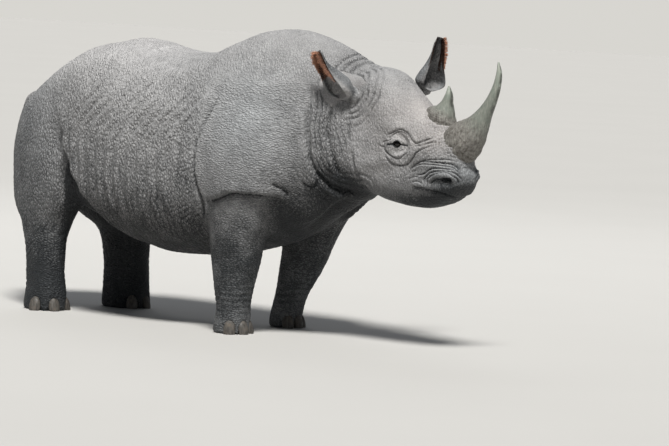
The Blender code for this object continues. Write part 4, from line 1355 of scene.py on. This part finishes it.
def paint_hide(skin, ears):
    """The skin's attributes, which its look reads."""
    whole, inner, share = ears
    x, _, z = skin.body.T
    up = skin.normals[:, 2]
    # Lighter higher up and on top, with pale dust and painted light; darker facing down, with painted shade,
    # and low on the legs, with mud and painted shade.
    tone = 0.34 + 0.18 * smoothstep(z, 0.35, 1.15) + 0.12 * smoothstep(up, 0.1, 0.9)
    tone -= 0.05 * smoothstep(-up, 0.2, 0.9) + 0.10 * (1 - smoothstep(z, 0.15, 0.60))
    warm, speckle = np.zeros((2, len(x)))
    cool = 0.25 * (1 - smoothstep(z, 0.3, 0.7))
    for plane, centre, reach, *amounts in PATCHES:
        points = getattr(skin, plane).copy()
        points[:, 1] = np.abs(points[:, 1])
        near = np.exp(-(((points - centre) / reach) ** 2).sum(1))
        for layer, amount in zip((tone, warm, cool, speckle), amounts):
            layer += amount * near
    # Painted shade inside the far ear.
    inside = np.where(skin.head[:, 1] < 0, EAR_INSIDE[-1], EAR_INSIDE[1])
    hairy = whole * inner * smoothstep(share, 0.45, 0.75)
    tone += whole * (inner * inside - 0.24 * (1 - inner)) - 0.14 * hairy
    warm = np.clip(warm + 0.2 * whole + 0.5 * hairy, 0, 1)
    cool = cool + 0.5 * whole * (1 - inner)
    # Painted shade round the eyes and in the body's deepest shadows.
    tone -= skin.eye_rim_shade + skin.shade
    lie = window(x, 0.52, 1.02, 0.05) * window(z, 0.2, 1.2, 0.1)
    lie = np.maximum(lie, 1 - smoothstep(z, 0.35, 0.5))
    rough = 1.0 - 0.50 * skin.headwards - 0.30 * window(x, 0.5, 1.05, 0.08)
    rough -= whole * (0.25 + 0.5 * inner)
    rough *= 0.75 + 0.25 * smoothstep(z, 0.3, 0.6)
    paint(
        skin.mesh, tone=np.clip(tone, 0.02, 1), warm=warm, cool=np.clip(cool, 0, 1),
        speckle=np.clip(speckle, 0, 1), groove=np.clip(skin.groove, 0, 1.2), lie=lie,
        rough=np.clip(rough, 0.15, 1),
    )


# Where each ear's joint with the head is smoothed: at what share of its length, and how far round.
JOINT_SHARE = 0.05
JOINT_REACH = 0.060
# Vertices lower than this are kept from going under the floor.
NEAR_FLOOR = 0.012


def make_skin():
    """The whole skin, sculpted and painted. Returns the ears it was joined with."""
    obj, ears = grown_skin()
    skin = Skin(obj.data)
    masks = ear_masks(skin, ears)
    roots = np.zeros(len(skin.points))
    for ear in ears.values():
        joint = np.array(ear.base.lerp(ear.tip, JOINT_SHARE))
        roots = np.maximum(roots, hill(np.linalg.norm(skin.head - joint, axis=1), JOINT_REACH))
    skin.soften(14, 0.6 * roots * (1 - masks[1]))
    skin.ears = masks[0]
    for sculpt in (
        sculpt_forms, sculpt_horn_seats, sculpt_folds, sculpt_trunk, sculpt_neck, sculpt_head_wrinkles
    ):
        sculpt(skin)
    for _, side in SIDES:
        sculpt_nostril(skin, side)
        sculpt_eye(skin, side)
    skin.update()
    sculpt_head_folds(skin)
    low = skin.points[:, 2] < NEAR_FLOOR
    skin.points[low, 2] = np.maximum(skin.points[low, 2], 0.0)
    skin.update()
    paint_hide(skin, masks)
    obj.data.shade_smooth()
    piece(obj, hide_look(), "hide", *FLESH, "ear_left", "ear_right")
    return ears


# Stage

# The camera's place in the body's frame, the way it looks from, its roll and its lens.
CAMERA_PLACE = Vector((12.312, -13.808, 1.814))
CAMERA_AZIMUTH = math.radians(39.2)
CAMERA_HEIGHT = math.radians(4.0)
CAMERA_ROLL = math.radians(2.5)
CAMERA_LENS = 196.6


def make_camera():
    back = Vector((
        math.sin(CAMERA_AZIMUTH) * math.cos(CAMERA_HEIGHT),
        -math.cos(CAMERA_AZIMUTH) * math.cos(CAMERA_HEIGHT),
        math.sin(CAMERA_HEIGHT),
    ))
    right = Vector((0, 0, 1)).cross(back).normalized()
    up = back.cross(right)
    turned_right = right * math.cos(CAMERA_ROLL) + up * math.sin(CAMERA_ROLL)
    turned_up = up * math.cos(CAMERA_ROLL) - right * math.sin(CAMERA_ROLL)
    data = bpy.data.cameras.new("camera")
    data.lens = CAMERA_LENS
    data.sensor_width = 36
    data.clip_end = 200
    camera = new_object("camera", data)
    turn = Matrix((turned_right, turned_up, back)).transposed()
    camera.matrix_world = Matrix.Translation(CAMERA_PLACE + BODY_ORIGIN) @ turn.to_4x4()
    bpy.context.scene.camera = camera


HORIZON = (0.685, 0.672, 0.635)
SKY = (0.13, 0.14, 0.155)
FLOOR_HALF = 60


def make_stage():
    mesh = bpy.data.meshes.new("floor")
    corners = [(x * FLOOR_HALF, y * FLOOR_HALF, 0) for x, y in ((-1, -1), (1, -1), (1, 1), (-1, 1))]
    mesh.from_pydata(corners, [], [(0, 1, 2, 3)])
    mesh.materials.append(plain_look("floor", (0.50, 0.49, 0.47), 0.9))
    new_object("floor", mesh)
    bpy.context.scene.world = studio_world()
    add_light("key", "SUN", (3.0, -3.6, 8.4), math.radians(14), 4.85, (1.0, 0.99, 0.965))
    add_light("rear", "AREA", (-5.0, 5.0, 7.0), 5.0, 160, (0.95, 0.97, 1.0))
    bpy.context.scene.view_settings.view_transform = "Standard"


def studio_world():
    """Soft light from all round, palest where it meets the floor."""
    world = bpy.data.worlds.new("studio")
    graph = Graph(world)
    place = graph.add("ShaderNodeTexCoord").outputs["Generated"]
    height = graph.add("ShaderNodeSeparateXYZ", {0: place}).outputs["Z"]
    links = {"Value": height, "From Min": 0.012, "From Max": 0.08}
    share = graph.add("ShaderNodeMapRange", links).outputs[0]
    graph.feed(graph.nodes["Background"].inputs["Color"], graph.mix(share, HORIZON, SKY))
    return world


def add_light(name, kind, place, softness, power, colour):
    """softness is a lamp's width in metres, or a distant light's spread in radians."""
    data = bpy.data.lights.new(name, kind)
    if kind == "SUN":
        data.angle = softness
    else:
        data.size = softness
    data.energy = power
    data.color = colour
    light = new_object(name, data)
    light.location = place
    target = Vector((0, 0, 0.8))
    light.rotation_euler = (target - light.location).to_track_quat("-Z", "Y").to_euler()


def main():
    ears = make_skin()
    horn = horn_look()
    for name in HORNS:
        make_horn(name, horn)
    eye = eye_look()
    for side_name, side in SIDES:
        make_eye(side_name, side, eye)
    nail = nail_look()
    for name in sorted(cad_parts):
        if name.startswith("nail_"):
            make_nail(name, nail)
    rust = bristle_look("ear_bristle", (0.045, 0.022, 0.015), (0.62, 0.32, 0.21))
    for chart, name in enumerate(EARS):
        make_fringe(name, ears[name], 0.5 * chart, rust)
    black = bristle_look("dark_bristle", (0.012, 0.010, 0.009), (0.03, 0.026, 0.022))
    make_lashes(black)
    make_tail_brush(black)
    make_stage()
    make_camera()


main()
